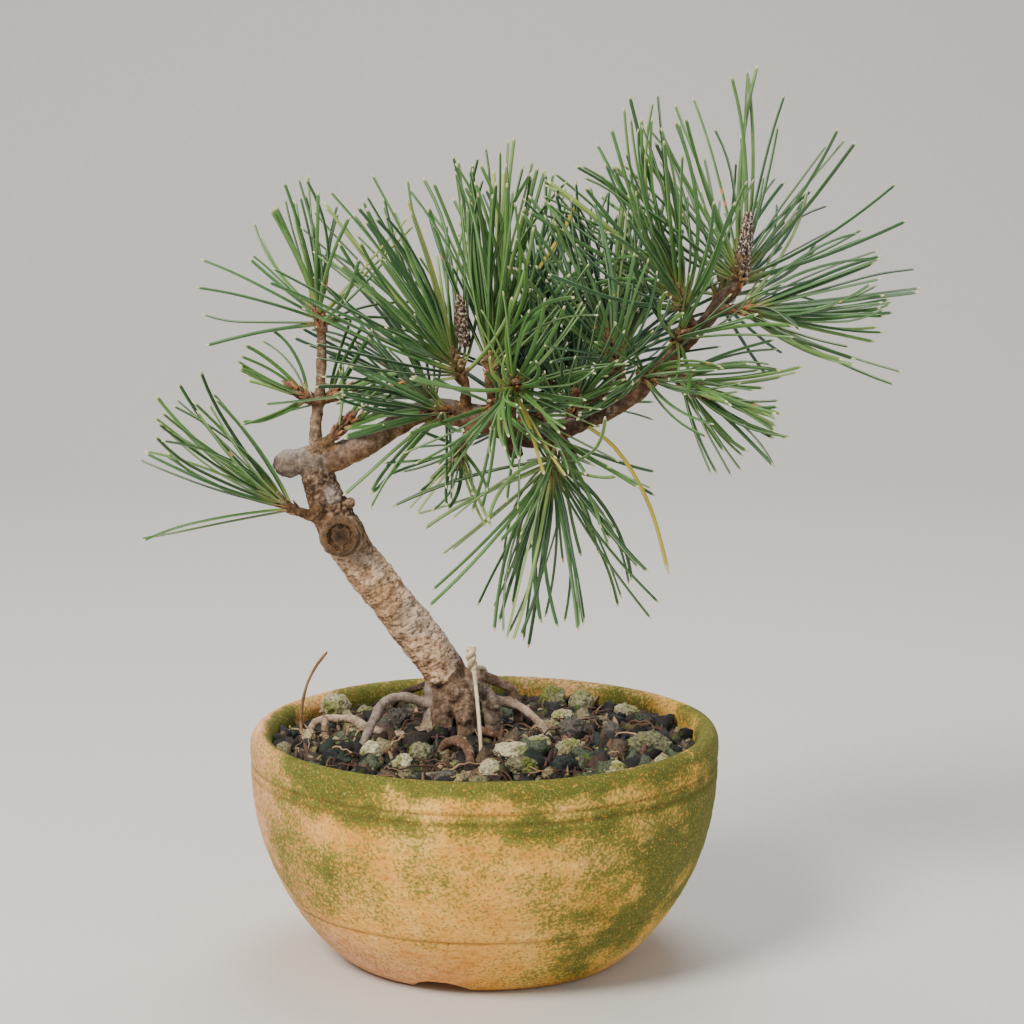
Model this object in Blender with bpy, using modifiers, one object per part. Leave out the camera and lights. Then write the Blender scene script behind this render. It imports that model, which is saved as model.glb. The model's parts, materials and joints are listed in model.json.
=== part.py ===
"""Pine bonsai in a round terracotta bowl: leaning trunk, surface roots, needle tufts, pumice top.

Metres, +Z up. The origin is on the table, under the middle of the whole object. Lengths and point
lists below are in millimetres, and points are measured from the pot's axis at table level.
"""

import math
import random

import bmesh
import bpy
import numpy as np
from mathutils import Matrix, Vector

MM = 0.001
WELD = 0.00005  # metres; points nearer than this are one point
GAP = 0.3  # clearance between pieces that touch
AXIS_X = -9.8  # the pot's axis, sideways from the origin

# Pot: a turned bowl with a rounded lip, two cut lines and a hollow foot
POT_HEIGHT = 74.5
POT_RADIUS = 75.0
FOOT_RADIUS = 44.0
FOOT_WIDTH = 9.0
FOOT_HOLLOW = 3.6
FOOT_SLOPE = 2.0
SHOULDER = 62.0  # height at which the wall is widest
WALL = 7.0  # at the rim
WALL_BELOW = 5.6
WALL_LIFT = 3.0
FLOOR = 9.8  # height of the inside floor
FLOOR_CURVE = 8.0  # width of the slope between the floor and the wall
DRAIN_RADIUS = 6.0
LIP_HEIGHT = 1.4  # of the rounded lip, in half walls
LIP_STEPS = 6
OUTER_HEIGHTS = (53, 43, 34, 27, 15, 9, 4.5, 1.2, 0)
INNER_HEIGHTS = (14, 20, 30, 44, 58)
LINE_HEIGHTS = (21.3, 61.6, 64.8)
LINE_DEPTH = 0.6
LINE_HALF = 1.0
NOTCH_RADIUS = 9.0
NOTCH_ANGLES = (-107, 13, 133)  # degrees round the foot
TURN_STEPS = 32

# Drain screen and soil
SCREEN_SIDE = 18.0
SCREEN_WIRE = 0.8
SCREEN_CELLS = 3
SOIL_EDGE = 68.0
SOIL_CROWN = 70.5
SOIL_RINGS = (0, 12, 24, 36, 48, 58)
SOIL_POCKET = 14.0  # radius of the space that the soil leaves for the screen
POCKET_ROOM = 0.46  # air that the soil leaves round a root or a grain

# Trunk and roots: a point and the radius there
TRUNK = (
    ((-11.5, 15, 60), 8.2),
    ((-11.6, 14, 73), 8.6),
    ((-11.9, 13.5, 82), 7.8),
    ((-13.5, 13, 90), 7.0),
    ((-18.7, 12, 98), 6.9),
    ((-25.4, 11, 107), 6.8),
    ((-34.2, 9, 119), 6.7),
    ((-42, 7, 130), 6.9),
    ((-46.8, 5, 139), 6.8),
    ((-50.3, 3.5, 147.5), 5.9),
    ((-52.4, 2, 154), 5.2),
    ((-53.4, 0.5, 160), 4.8),
)
STUB = (((-50, 0, 161), 4.6), ((-57, 0, 160.6), 4.4), ((-62, 0, 159.8), 4.4), ((-65.5, 0, 159.4), 3.2))
BRANCH = (
    ((-55, 0.2, 160.3), 4.5),
    ((-48.5, 0, 161.4), 4.2),
    ((-42, 0, 164.2), 4.0),
    ((-35.2, 0, 167.4), 3.9),
    ((-28.2, 0, 172), 3.7),
    ((-19, 0, 176.6), 3.4),
    ((-9.2, 2, 175.6), 4.2),
    ((1.2, 3, 173), 4.6),
    ((10, 3, 169.6), 4.0),
    ((17, 3, 167.9), 3.5),
    ((24.7, 3, 170.4), 3.3),
    ((38.9, 2, 176.4), 3.0),
    ((49.2, 0, 183.4), 2.8),
    ((56.1, 0, 191), 2.7),
    ((67.6, 0, 202.7), 2.4),
    ((74.5, 0, 210.6), 2.1),
    ((79.2, 0, 216.6), 1.7),
)
LEADER = (
    ((-53.8, 0, 158), 2.0),
    ((-53.2, 0, 173), 1.6),
    ((-52.1, 0, 181), 1.5),
    ((-51.4, 0, 190), 1.3),
    ((-51.1, 0, 203), 1.2),
)
CUT_STUB = (((6, 2, 171), 2.6), ((9, 0, 166), 2.2), ((10.3, -1.5, 162.4), 1.9))
ROOTS = {
    "long_left": (
        ((-9, 9, 76), 2.2),
        ((-14.8, 6, 73.6), 1.7),
        ((-21.2, 4, 71.2), 1.5),
        ((-28.2, 2, 70.6), 1.5),
        ((-33, 4, 71.2), 1.4),
        ((-39.4, 8, 72.4), 1.4),
        ((-43, 13, 73.4), 1.4),
        ((-48, 16, 73.0), 1.4),
        ((-55, 17, 71.6), 1.3),
        ((-58.5, 17.4, 66), 1.2),
    ),
    "arch_left": (
        ((-11, 11, 79), 2.2),
        ((-18.7, 10, 79.4), 1.7),
        ((-24, 10, 81.2), 1.5),
        ((-29.6, 8.5, 81.6), 1.5),
        ((-33.4, 4, 80.0), 1.4),
        ((-35.7, -1.5, 76.4), 1.4),
        ((-38, -6, 72.1), 1.4),
        ((-40.5, -8, 66), 1.3),
    ),
    "fork_left": (((-52, 16.5, 72.4), 1.3), ((-52, 11, 71.5), 1.2), ((-51, 5, 66), 1.1)),
    "arch_front": (
        ((-13, 3, 68), 1.8),
        ((-13.2, -6, 64.5), 1.6),
        ((-13.5, -14, 64.5), 1.5),
        ((-13.6, -16, 69.5), 1.5),
        ((-12.1, -17.5, 72.8), 1.5),
        ((-8.6, -20.5, 74.4), 1.5),
        ((-5.2, -25, 73.2), 1.5),
        ((-4.2, -30, 70.4), 1.5),
        ((-4.6, -34, 64), 1.4),
    ),
    "right_back": (
        ((-9, 12, 88), 2.4),
        ((-3.5, 12.5, 88.6), 1.8),
        ((0.7, 13, 87.3), 1.7),
        ((5.2, 14, 85.2), 1.6),
        ((8.8, 15, 82.4), 1.5),
        ((10.4, 17, 76), 1.5),
        ((11, 19, 65), 1.4),
    ),
    "right_pale": (
        ((-6, 13, 80), 2.4),
        ((4, 14, 79.5), 1.6),
        ((11.7, 14, 77.2), 1.3),
        ((15.6, 11, 74.8), 1.2),
        ((19, 7, 72), 1.2),
        ((22.7, 2.5, 66), 1.1),
    ),
    "back_left": (((-13, 17, 84), 2.0), ((-20.6, 21, 82.6), 1.3), ((-29, 27, 77), 1.1), ((-34, 31, 66), 1.0)),
    "low_front": (((-9, 11, 76), 3.0), ((-4.4, 4, 74), 2.2), ((-0.4, 0, 72.6), 1.4),
                  ((6, -2, 71.4), 1.2), ((14, -4, 70), 1.0), ((18, -5, 66), 0.9)),
    "toe_left": (((-13, 11, 82), 5.0), ((-13.5, 5, 76), 3.8), ((-13, 1.5, 70), 2.8), ((-13, 0, 64), 2.0)),
    "toe_mid": (((-9, 9, 84), 4.6), ((-6.6, 3.4, 80), 3.6), ((-6.2, 0.5, 74), 2.4), ((-6, -1, 64), 1.8)),
    "toe_right": (((-6, 11, 84), 4.2), ((0.6, 7, 82.6), 3.0), ((2.6, 4, 77), 2.8), ((2.6, 3, 64), 2.4)),
}
ROOT_SIDES = 6
TRUNK_SIDES = 10
COLLAR = (((-46, 6, 136.8), 6.4), ((-45.9, -1.0, 136.6), 6.2), ((-45.9, -2.4, 136.6), 5.4))
SCAR_PLACE = (-45.9, -2.2, 136.6)
SCAR_RADIUS = 5.3
SCAR_LIP = 1.3

# Buds: foot, tip, radius
BUDS = {
    "bud_right": ((81.4, 0, 227.4), (82.6, 0, 238), 2.0),
    "bud_centre": ((-6.3, -3.2, 199.8), (-7.6, -3, 212), 1.9),
}
BUD_TAPER = 0.45

# Tufts: where the spur leaves the wood, where the needles start, their lean, and
# the number, length and spread in degrees of the needles
TUFTS = {
    "needles_right_tip": ((75.5, 0, 211.8), (79.9, 0, 217.8), (0.18, 0.0, 1.0), 26, 60, 92),
    "needles_low_left": ((-50, 4, 141), (-61.4, -2, 146), (-0.42, -0.1, 0.9), 17, 53, 100),
    "needles_centre": ((3, 3, 174), (3.0, -3, 190), (0.12, -0.12, 1.0), 26, 66, 66),
    "needles_centre_left": ((-6, 2, 176), (-6.0, -3, 190), (-0.1, -0.02, 1.0), 26, 66, 76),
    "needles_hanging": ((19.5, 3, 168), (21.4, -4, 162.4), (0.04, -0.12, -1.0), 26, 57, 84),
    "needles_right_side": ((73, 0, 209), (80.0, -5, 209.5), (0.95, -0.25, 0.02), 20, 52, 84),
    "needles_right_left": ((66, 0, 201), (63.0, -7, 210), (-0.42, -0.25, 0.87), 22, 58, 74),
    "needles_front": ((8, 3, 170.5), (9.0, -20, 186.5), (0.1, -0.9, 0.4), 22, 44, 104),
    "needles_leader_tip": ((-51.1, 0, 202), (-51.2, 0, 203.8), (-0.06, 0.0, 1.0), 20, 42, 98),
    "needles_back_left": ((16, 3, 168.5), (21.0, 17, 180), (-0.05, 0.3, 0.94), 24, 58, 86),
    "needles_back_right": ((33, 2, 174), (40.0, 18, 186), (0.15, 0.25, 0.94), 24, 56, 86),
    "needles_branch_top": ((44, 1, 180), (42.0, -5, 192), (-0.15, -0.25, 0.95), 22, 58, 78),
    "needles_right_low": ((60, 0, 195), (63.0, -6, 187), (0.55, -0.25, -0.78), 20, 42, 86),
    "needles_right_back": ((70, 0, 205.5), (74.0, 9, 211), (0.35, 0.75, 0.5), 20, 54, 88),
    "needles_centre_low": ((-4, 2, 171), (-7.0, -6, 166), (-0.35, -0.45, -0.8), 16, 34, 92),
    "needles_leader_left": ((-52.1, 0, 179.6), (-55.6, -1, 181), (-0.8, -0.1, 0.55), 10, 25, 70),
    "needles_leader_right": ((-52.1, 0, 179.6), (-48.6, 1, 181), (0.85, 0.1, 0.35), 10, 26, 66),
    "needles_side": ((-52.6, 0, 165), (-46.0, -3.4, 170.6), (0.6, -0.3, 0.7), 9, 21, 66),
}
CORE_RADIUS = 2.9
CORE_LENGTH = 8.0
CORE_GAP = 0.5  # between the twig's end and the shoot that carries the needles
CORE_CLEAR = 10.0  # needles of one tuft may be close together this near its middle
CORE_BARE = -0.75  # no needles grow below this height on a core of radius 1
SPUR_RADII = (1.9, 1.3)
SPUR_STRAIGHT = 3.0
SPUR_SHORT = 5.0
NEEDLE_RADIUS = 0.85
NEEDLE_ROOM = 0.9  # air kept between two needles
NEEDLE_TRIES = (1.0, 0.86, 0.72, 0.58, 0.44)  # shares of the full length, longest first
NEEDLE_SHORTEST = 0.86
NEEDLE_LIFT = 0.16
SAMPLES = 45
SPREAD_APART = 0.34  # least distance between two needle roots on a core of radius 1
SPREAD_GAIN = 1.15

# Grains on the soil: place, height above the soil line, half sizes, turn in degrees
GRAINS = {
    "pumice": (
        (-50, 33, 4.6, 4.8, 4.6, 4.6, 10),
        (-40, 34, 1.6, 3.0, 3.4, 2.8, 0),
        (-22, 46, 1.0, 3.6, 3.4, 3.0, 20),
        (-20.5, -24, 1.6, 4.2, 3.8, 3.8, 30),
        (-25, -34, 1.0, 3.3, 3.0, 3.0, 0),
        (-36, -22, 1.2, 3.9, 3.4, 3.3, 15),
        (8.8, -25, 1.8, 5.6, 4.2, 3.8, -8),
        (12.5, -40, 1.4, 4.8, 4.4, 3.8, 20),
        (1.8, -44, 1.6, 3.8, 3.8, 3.8, 0),
        (17.5, -12.5, 1.2, 4.2, 3.2, 3.0, -30),
        (27, -15, 1.0, 3.9, 3.4, 3.2, 20),
        (53, -14, 1.8, 5.9, 5.0, 4.4, 10),
        (41, -40, 1.0, 4.2, 3.4, 3.2, 0),
        (23, 50, 2.0, 4.2, 3.8, 4.0, 0),
        (32, 48, 2.2, 3.9, 3.9, 4.2, 40),
        (47, 36, 1.6, 4.4, 2.8, 3.0, -25),
        (25, 24, 1.6, 4.0, 3.2, 3.0, 30),
    ),
    "lava": (
        (-29, 22, 1.4, 4.6, 4.2, 3.6, 0),
        (-47, -24, 1.0, 5.2, 4.4, 3.4, 20),
        (28, 5, 1.4, 4.3, 4.0, 3.8, 10),
        (25, -37, 1.4, 4.4, 4.0, 3.8, 0),
        (52, 25, 1.0, 3.0, 2.8, 2.8, 0),
        (36, -26, 0.6, 3.0, 2.8, 2.6, 0),
        (-12, -46, 0.2, 5.2, 3.6, 2.6, 0),
        (41, 8, 0.8, 3.4, 3.0, 3.0, 15),
    ),
}
GRAIN_LUMPS = 0.12

# Tie: a strand that runs from the soil over the root crown and back into it, with a twisted end
TIE_STRAND = (
    ((-0.6, -30.5, 62), 0.7),
    ((-0.8, -29, 70), 0.7),
    ((-1.2, -21, 75.6), 0.7),
    ((-2.0, -10, 82.2), 0.7),
    ((-2.9, 0, 88.4), 0.7),
    ((-3.4, 5, 92.2), 0.9),
    ((-2.4, 9, 92.8), 0.8),
    ((-0.4, 14, 91.0), 0.7),
    ((1.0, 20, 85), 0.7),
    ((2.0, 25, 76), 0.7),
    ((2.2, 27, 62), 0.7),
)
TIE_END = (((-3.6, 5, 91.6), 1.0), ((-4.2, 4.4, 94), 1.3), ((-4.5, 4.2, 97), 1.3), ((-4.3, 4, 100.2), 1.1))
DRY_STEM = (
    ((-59.5, 21.5, 62), 0.5),
    ((-60.4, 21.5, 72), 0.5),
    ((-58.6, 21.5, 82), 0.5),
    ((-55.6, 21.5, 88.6), 0.5),
    ((-52.3, 21.5, 93.2), 0.45),
)

taken = []  # start, end and radius of every stick that the needles keep clear of


def clear_scene():
    for item in list(bpy.data.objects):
        bpy.data.objects.remove(item, do_unlink=True)


def new_group(name, parent):
    group = bpy.data.collections.new(name)
    parent.children.link(group)
    return group


def material(name, colour, roughness):
    made = bpy.data.materials.new(name)
    made.use_nodes = True
    shader = made.node_tree.nodes["Principled BSDF"]
    shader.inputs["Base Color"].default_value = (*colour, 1)
    shader.inputs["Roughness"].default_value = roughness
    shader.inputs["Metallic"].default_value = 0.0
    made.diffuse_color = (*colour, 1)
    return made


def place(mesh, name, finish, group):
    """Puts a mesh built round the pot's axis in the scene; one with no finish is a cutter."""
    item = bpy.data.objects.new(name, mesh)
    group.objects.link(item)
    item.parent = axis
    if finish:
        mesh.materials.clear()
        mesh.materials.append(finish)
    else:
        item.hide_render = True
        item.display_type = "WIRE"
    return item


def mesh_from(bm, name):
    bmesh.ops.recalc_face_normals(bm, faces=bm.faces[:])
    mesh = bpy.data.meshes.new(name)
    bm.to_mesh(mesh)
    bm.free()
    return mesh


def turned(name, profile, finish):
    """Turns an outline of (radius, height) points, top to bottom outside, about the axis."""
    mesh = bpy.data.meshes.new(name)
    edges = [(i, i + 1) for i in range(len(profile) - 1)]
    if profile[0][0] > 0:
        edges.append((len(profile) - 1, 0))
    mesh.from_pydata([(r * MM, 0, z * MM) for r, z in profile], edges, [])
    item = place(mesh, name, finish, bonsai)
    screw = item.modifiers.new("turn", "SCREW")
    screw.axis = "Z"
    screw.steps = TURN_STEPS
    screw.render_steps = TURN_STEPS
    screw.use_merge_vertices = True
    screw.merge_threshold = WELD
    screw.use_smooth_shade = True
    return item


def cut(item, tools, operation):
    """Joins or cuts item with every object in the tools collection."""
    modifier = item.modifiers.new(operation.lower(), "BOOLEAN")
    modifier.operation = operation
    modifier.operand_type = "COLLECTION"
    modifier.collection = tools
    modifier.solver = "EXACT"


def tube_mesh(name, route, sides, grow=0.0):
    """A closed tube along the route, each radius made larger by grow."""
    curve = bpy.data.curves.new(name, "CURVE")
    curve.dimensions = "3D"
    curve.bevel_depth = MM
    curve.bevel_resolution = (sides - 4) // 2
    curve.use_fill_caps = True
    spline = curve.splines.new("POLY")
    spline.points.add(len(route) - 1)
    for point, (spot, radius) in zip(spline.points, route):
        point.co = (*(Vector(spot) * MM), 1)
        point.radius = radius + grow
    item = bpy.data.objects.new(name, curve)
    bpy.context.scene.collection.objects.link(item)
    evaluated = item.evaluated_get(bpy.context.evaluated_depsgraph_get())
    mesh = bpy.data.meshes.new_from_object(evaluated)
    bpy.data.objects.remove(item)
    bpy.data.curves.remove(curve)
    bm = bmesh.new()
    bm.from_mesh(mesh)
    bpy.data.meshes.remove(mesh)
    bmesh.ops.remove_doubles(bm, verts=bm.verts[:], dist=WELD)
    return mesh_from(bm, name)


def reserve(route, room=0.0):
    """Notes a route's sticks, so that no needle grows through them."""
    for (start, radius), (end, _) in zip(route, route[1:]):
        taken.append((Vector(start), Vector(end), radius + room))


def wall_radius(height):
    """Outer radius of the bowl at a height below its shoulder."""
    rise = 1 - (1 - min(height, SHOULDER) / SHOULDER) ** 2
    return FOOT_RADIUS + (POT_RADIUS - FOOT_RADIUS) * rise**0.8


def lip():
    """The rounded rim, from its inner side over the top to its outer side."""
    half = WALL / 2
    rise = half * LIP_HEIGHT
    angles = [math.pi * (1 - i / LIP_STEPS) for i in range(LIP_STEPS + 1)]
    return [
        (POT_RADIUS - half + half * math.cos(a), POT_HEIGHT - rise + rise * math.sin(a)) for a in angles
    ]


def inner_radius(height):
    """Inner radius of the bowl, whose curve runs a little above the outer one."""
    return min(POT_RADIUS - WALL, wall_radius(max(height - WALL_LIFT, 0)) - WALL_BELOW)


def make_pot():
    down = [(wall_radius(height), height) for height in OUTER_HEIGHTS]
    for line in LINE_HEIGHTS:
        down += [(wall_radius(line + shift) - cut_in, line + shift)
                 for shift, cut_in in ((LINE_HALF, 0), (0, LINE_DEPTH), (-LINE_HALF, 0))]
    down.sort(key=lambda point: -point[1])
    foot_inside = FOOT_RADIUS - FOOT_WIDTH
    profile = [
        *((inner_radius(height), height) for height in INNER_HEIGHTS),
        *lip(),
        *down,
        (foot_inside, 0),
        (foot_inside - FOOT_SLOPE, FOOT_HOLLOW),
        (DRAIN_RADIUS, FOOT_HOLLOW),
        (DRAIN_RADIUS, FLOOR),
        (inner_radius(INNER_HEIGHTS[0]) - FLOOR_CURVE, FLOOR),
    ]
    pot = turned("pot", profile, terracotta)
    notches = new_group("foot_notches", cutters)
    for angle in NOTCH_ANGLES:
        bm = bmesh.new()
        bmesh.ops.create_cone(
            bm, cap_ends=True, segments=20, radius1=NOTCH_RADIUS * MM, radius2=NOTCH_RADIUS * MM,
            depth=2 * FOOT_WIDTH * MM,
        )
        notch = place(mesh_from(bm, "foot_notch"), f"foot_notch_{angle}", None, notches)
        turn = math.radians(angle)
        reach = (FOOT_RADIUS - FOOT_WIDTH / 2) * MM
        notch.location = (reach * math.cos(turn), reach * math.sin(turn), (FOOT_HOLLOW - NOTCH_RADIUS) * MM)
        notch.rotation_euler = (0, math.pi / 2, turn)
    cut(pot, notches, "DIFFERENCE")


def soil_height(radius):
    """The soil's surface: a low mound from the wall to the middle."""
    share = min(radius / (POT_RADIUS - WALL), 1)
    return SOIL_EDGE + (SOIL_CROWN - SOIL_EDGE) * (1 - share**2)


def make_soil():
    pocket_top = FLOOR + SCREEN_WIRE + 3 * GAP
    profile = [(radius, soil_height(radius)) for radius in SOIL_RINGS]
    profile += [(inner_radius(SOIL_EDGE) - GAP, SOIL_EDGE)]
    profile += [(inner_radius(height) - GAP, height) for height in reversed(INNER_HEIGHTS)]
    profile += [
        (inner_radius(INNER_HEIGHTS[0]) - FLOOR_CURVE - GAP, FLOOR + GAP),
        (SOIL_POCKET, FLOOR + GAP),
        (SOIL_POCKET, pocket_top),
        (0, pocket_top),
    ]
    cut(turned("soil", profile, earth), pockets, "DIFFERENCE")


def make_screen():
    """A square of plastic mesh over the drain hole."""
    bm = bmesh.new()
    bmesh.ops.create_grid(
        bm, x_segments=SCREEN_CELLS, y_segments=SCREEN_CELLS, size=SCREEN_SIDE / 2 * MM
    )
    cells = bm.faces[:]
    bmesh.ops.inset_individual(bm, faces=cells, thickness=SCREEN_WIRE / 2 * MM)
    bmesh.ops.delete(bm, geom=cells, context="FACES_ONLY")
    screen = place(mesh_from(bm, "drain_screen"), "drain_screen", plastic, bonsai)
    screen.location.z = (FLOOR + GAP + SCREEN_WIRE / 2) * MM
    wires = screen.modifiers.new("thickness", "SOLIDIFY")
    wires.thickness = SCREEN_WIRE * MM
    wires.offset = 0


def spur_route(start, base, lean):
    """A short twig that leaves the wood at start and arrives at base along lean."""
    start, base = Vector(start), Vector(base)
    thick, thin = SPUR_RADII
    if (base - start).length < SPUR_SHORT:
        return (start, thin), (base, thin)
    foot = base - lean * SPUR_STRAIGHT
    return (start, thick), (start.lerp(foot, 0.55), (thick + thin) / 2), (foot, thin), (base, thin)


def make_wood():
    """Trunk, branch, twigs and roots grew as one piece, so their tubes are joined into one body."""
    members = new_group("wood_members", cutters)
    routes = {"stub": STUB, "branch": BRANCH, "leader": LEADER, "cut_stub": CUT_STUB, "collar": COLLAR}
    for name, (start, base, lean, *_) in TUFTS.items():
        routes[f"spur_{name}"] = spur_route(start, base, Vector(lean).normalized())
    for name, route in routes.items():
        sides = 8 if name in ("stub", "branch", "collar") else 6
        place(tube_mesh(name, route, sides), name, None, members)
        reserve(route, GAP)
    for _, base, lean, *_ in TUFTS.values():
        core_end = Vector(base) + Vector(lean).normalized() * CORE_LENGTH
        taken.append((Vector(base), core_end, CORE_RADIUS))
    for name, route in ROOTS.items():
        place(tube_mesh(name, route, ROOT_SIDES), f"root_{name}", None, members)
        make_pocket(name, route)
    bpy.ops.mesh.primitive_torus_add(
        major_segments=20, minor_segments=6, major_radius=SCAR_RADIUS * MM, minor_radius=SCAR_LIP * MM
    )
    ring = bpy.context.object
    scar = place(ring.data, "scar_lip", None, members)
    bpy.data.objects.remove(ring)
    scar.location = Vector(SCAR_PLACE) * MM
    scar.rotation_euler = (math.radians(90), 0, 0)
    reserve(TRUNK, GAP)
    trunk = place(tube_mesh("tree_wood", TRUNK, TRUNK_SIDES), "tree_wood", bark, bonsai)
    make_pocket("trunk", TRUNK, TRUNK_SIDES)
    cut(trunk, members, "UNION")


def room_round(points, skip_near, skip_reach):
    """Least free distance from any of the points to the sticks already there."""
    starts = np.array([stick[0] for stick in taken])
    ends = np.array([stick[1] for stick in taken])
    radii = np.array([stick[2] for stick in taken])
    far = points[np.linalg.norm(points - np.array(skip_near), axis=1) > skip_reach]
    if len(far) == 0:
        return 0.0
    along = ends - starts
    share = np.einsum("psk,sk->ps", far[:, None] - starts, along) / np.einsum("sk,sk->s", along, along)
    nearest = starts + np.clip(share, 0, 1)[..., None] * along
    return float((np.linalg.norm(far[:, None] - nearest, axis=2) - radii).min())


def needle_points(root, direction, lift, length):
    """Root, middle and tip of a needle whose outer half bends upwards a little."""
    middle = root + direction * length * 0.5
    tip = middle + (direction + lift).normalized() * length * 0.5
    return root, middle, tip


def grow_needle(bm, face, points):
    """Draws a face of the core out into a three-sided needle through the points."""
    _, middle, tip = points
    direction = (tip - middle).normalized()
    face = bmesh.ops.extrude_discrete_faces(bm, faces=[face])["faces"][0]
    centre = face.calc_center_median()
    for vert in face.verts:
        offset = vert.co - centre
        offset -= offset.dot(direction) * direction
        vert.co = middle * MM + offset.normalized() * NEEDLE_RADIUS * MM
    face = bmesh.ops.extrude_discrete_faces(bm, faces=[face])["faces"][0]
    bmesh.ops.pointmerge(bm, verts=face.verts[:], merge_co=tip * MM)


def make_tuft(name, base, lean, count, length, spread, seed):
    """A whorl of needles on its shoot, drawn out of the shoot as one body."""
    chance = random.Random(seed)
    lean = Vector(lean).normalized()
    turn = lean.to_track_quat("Z", "Y").to_matrix().to_4x4()
    centre = Vector(base) + lean * (CORE_LENGTH / 2 + CORE_GAP)
    size = Matrix.Diagonal((CORE_RADIUS * MM, CORE_RADIUS * MM, CORE_LENGTH / 2 * MM, 1))
    bm = bmesh.new()
    bmesh.ops.create_icosphere(bm, subdivisions=2, radius=1.0)
    bm.faces.ensure_lookup_table()
    order = list(bm.faces)
    chance.shuffle(order)
    chosen = []
    for face in order:
        spot = face.calc_center_median()
        apart = all((spot - other).length > SPREAD_APART for _, other in chosen)
        if len(chosen) < count and spot.z > CORE_BARE and apart:
            chosen.append((face, spot))
    bmesh.ops.transform(bm, matrix=Matrix.Translation(centre * MM) @ turn @ size, verts=bm.verts[:])
    grown = []
    for face, spot in chosen:
        polar = spot.normalized().angle(Vector((0, 0, 1)))
        azimuth = math.atan2(spot.y, spot.x)
        opened = polar * math.radians(spread) / math.pi * SPREAD_GAIN
        local = Vector((math.sin(opened) * math.cos(azimuth), math.sin(opened) * math.sin(azimuth),
                        math.cos(opened)))
        direction = (turn.to_3x3() @ local).normalized()
        lift = Vector((0, 0, chance.uniform(0.0, NEEDLE_LIFT)))
        root = face.calc_center_median() / MM
        full = length * chance.uniform(NEEDLE_SHORTEST, 1.0)
        for share in NEEDLE_TRIES:
            points = needle_points(root, direction, lift, full * share)
            line = [points[0].lerp(points[1], i / SAMPLES) for i in range(1, SAMPLES + 1)]
            line += [points[1].lerp(points[2], i / SAMPLES) for i in range(1, SAMPLES + 1)]
            free = room_round(np.array(line), centre, CORE_CLEAR)
            if free > NEEDLE_RADIUS + NEEDLE_ROOM:
                grow_needle(bm, face, points)
                grown.append(points)
                break
    for root, middle, tip in grown:
        taken.append((root, middle, NEEDLE_RADIUS))
        taken.append((middle, tip, NEEDLE_RADIUS * 0.6))
    place(mesh_from(bm, name), name, needle_green, bonsai)


def make_bud(name, foot, tip, radius):
    """A pointed winter bud."""
    foot, tip = Vector(foot), Vector(tip)
    lean = tip - foot
    bm = bmesh.new()
    bmesh.ops.create_uvsphere(bm, u_segments=8, v_segments=6, radius=1.0)
    for vert in bm.verts:
        narrow = 1 - BUD_TAPER * (vert.co.z + 1) / 2
        vert.co.x *= narrow
        vert.co.y *= narrow
    turn = lean.to_track_quat("Z", "Y").to_matrix().to_4x4()
    size = Matrix.Diagonal((radius * MM, radius * MM, lean.length / 2 * MM, 1))
    middle = (foot + tip) / 2 * MM
    bmesh.ops.transform(bm, matrix=Matrix.Translation(middle) @ turn @ size, verts=bm.verts[:])
    place(mesh_from(bm, name), name, bud_scale, bonsai)
    reserve(((foot, radius), (tip, radius)))


def make_grain(name, spec, finish, seed):
    """A lumpy grain of stone, and the pocket that it sits in."""
    x, y, up, half_x, half_y, half_z, angle = spec
    chance = random.Random(seed)
    bm = bmesh.new()
    bmesh.ops.create_icosphere(bm, subdivisions=2, radius=MM)
    for vert in bm.verts:
        vert.co *= 1 + chance.uniform(-GRAIN_LUMPS, GRAIN_LUMPS)
        vert.co.x *= half_x
        vert.co.y *= half_y
        vert.co.z *= half_z
    mesh = mesh_from(bm, name)
    fat = mesh.copy()
    fat.transform(Matrix.Scale(1 + POCKET_ROOM / min(half_x, half_y, half_z), 4))
    for item in (place(mesh, name, finish, bonsai), place(fat, f"pocket_{name}", None, pockets)):
        item.location = (x * MM, y * MM, (soil_height(math.hypot(x, y)) + up) * MM)
        item.rotation_euler.z = math.radians(angle)


def make_tie():
    """The strand that ties the root crown down, with its two ends twisted together."""
    strand = place(tube_mesh("anchor_tie", TIE_STRAND, ROOT_SIDES), "anchor_tie", raffia, bonsai)
    ends = new_group("tie_members", cutters)
    place(tube_mesh("tie_end", TIE_END, ROOT_SIDES), "tie_end", None, ends)
    cut(strand, ends, "UNION")


def beyond(end, neighbour):
    """The end point of a route, moved on by two gaps."""
    (spot, radius), (previous, _) = end, neighbour
    return Vector(spot) + (Vector(spot) - Vector(previous)).normalized() * GAP * 2, radius


def make_pocket(name, route, sides=ROOT_SIDES):
    """The space that a buried tube takes out of the soil, a gap larger all round."""
    longer = (beyond(route[0], route[1]), *route[1:-1], beyond(route[-1], route[-2]))
    place(tube_mesh(name, longer, sides, POCKET_ROOM), f"pocket_{name}", None, pockets)


clear_scene()
bonsai = new_group("bonsai", bpy.context.scene.collection)
cutters = new_group("cutters", bpy.context.scene.collection)
pockets = new_group("soil_pockets", cutters)
axis = bpy.data.objects.new("pot_axis", None)
bonsai.objects.link(axis)
axis.location.x = AXIS_X * MM

terracotta = material("terracotta", (0.56, 0.30, 0.12), 0.85)
earth = material("soil", (0.045, 0.035, 0.026), 0.95)
plastic = material("plastic mesh", (0.02, 0.03, 0.02), 0.5)
bark = material("pine bark", (0.20, 0.13, 0.09), 0.9)
needle_green = material("pine needles", (0.09, 0.19, 0.07), 0.5)
bud_scale = material("bud scales", (0.22, 0.10, 0.06), 0.7)
pumice = material("pumice", (0.42, 0.42, 0.28), 0.95)
lava = material("lava", (0.07, 0.07, 0.07), 0.95)
raffia = material("raffia", (0.62, 0.54, 0.40), 0.8)
straw = material("straw", (0.25, 0.16, 0.10), 0.8)

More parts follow.
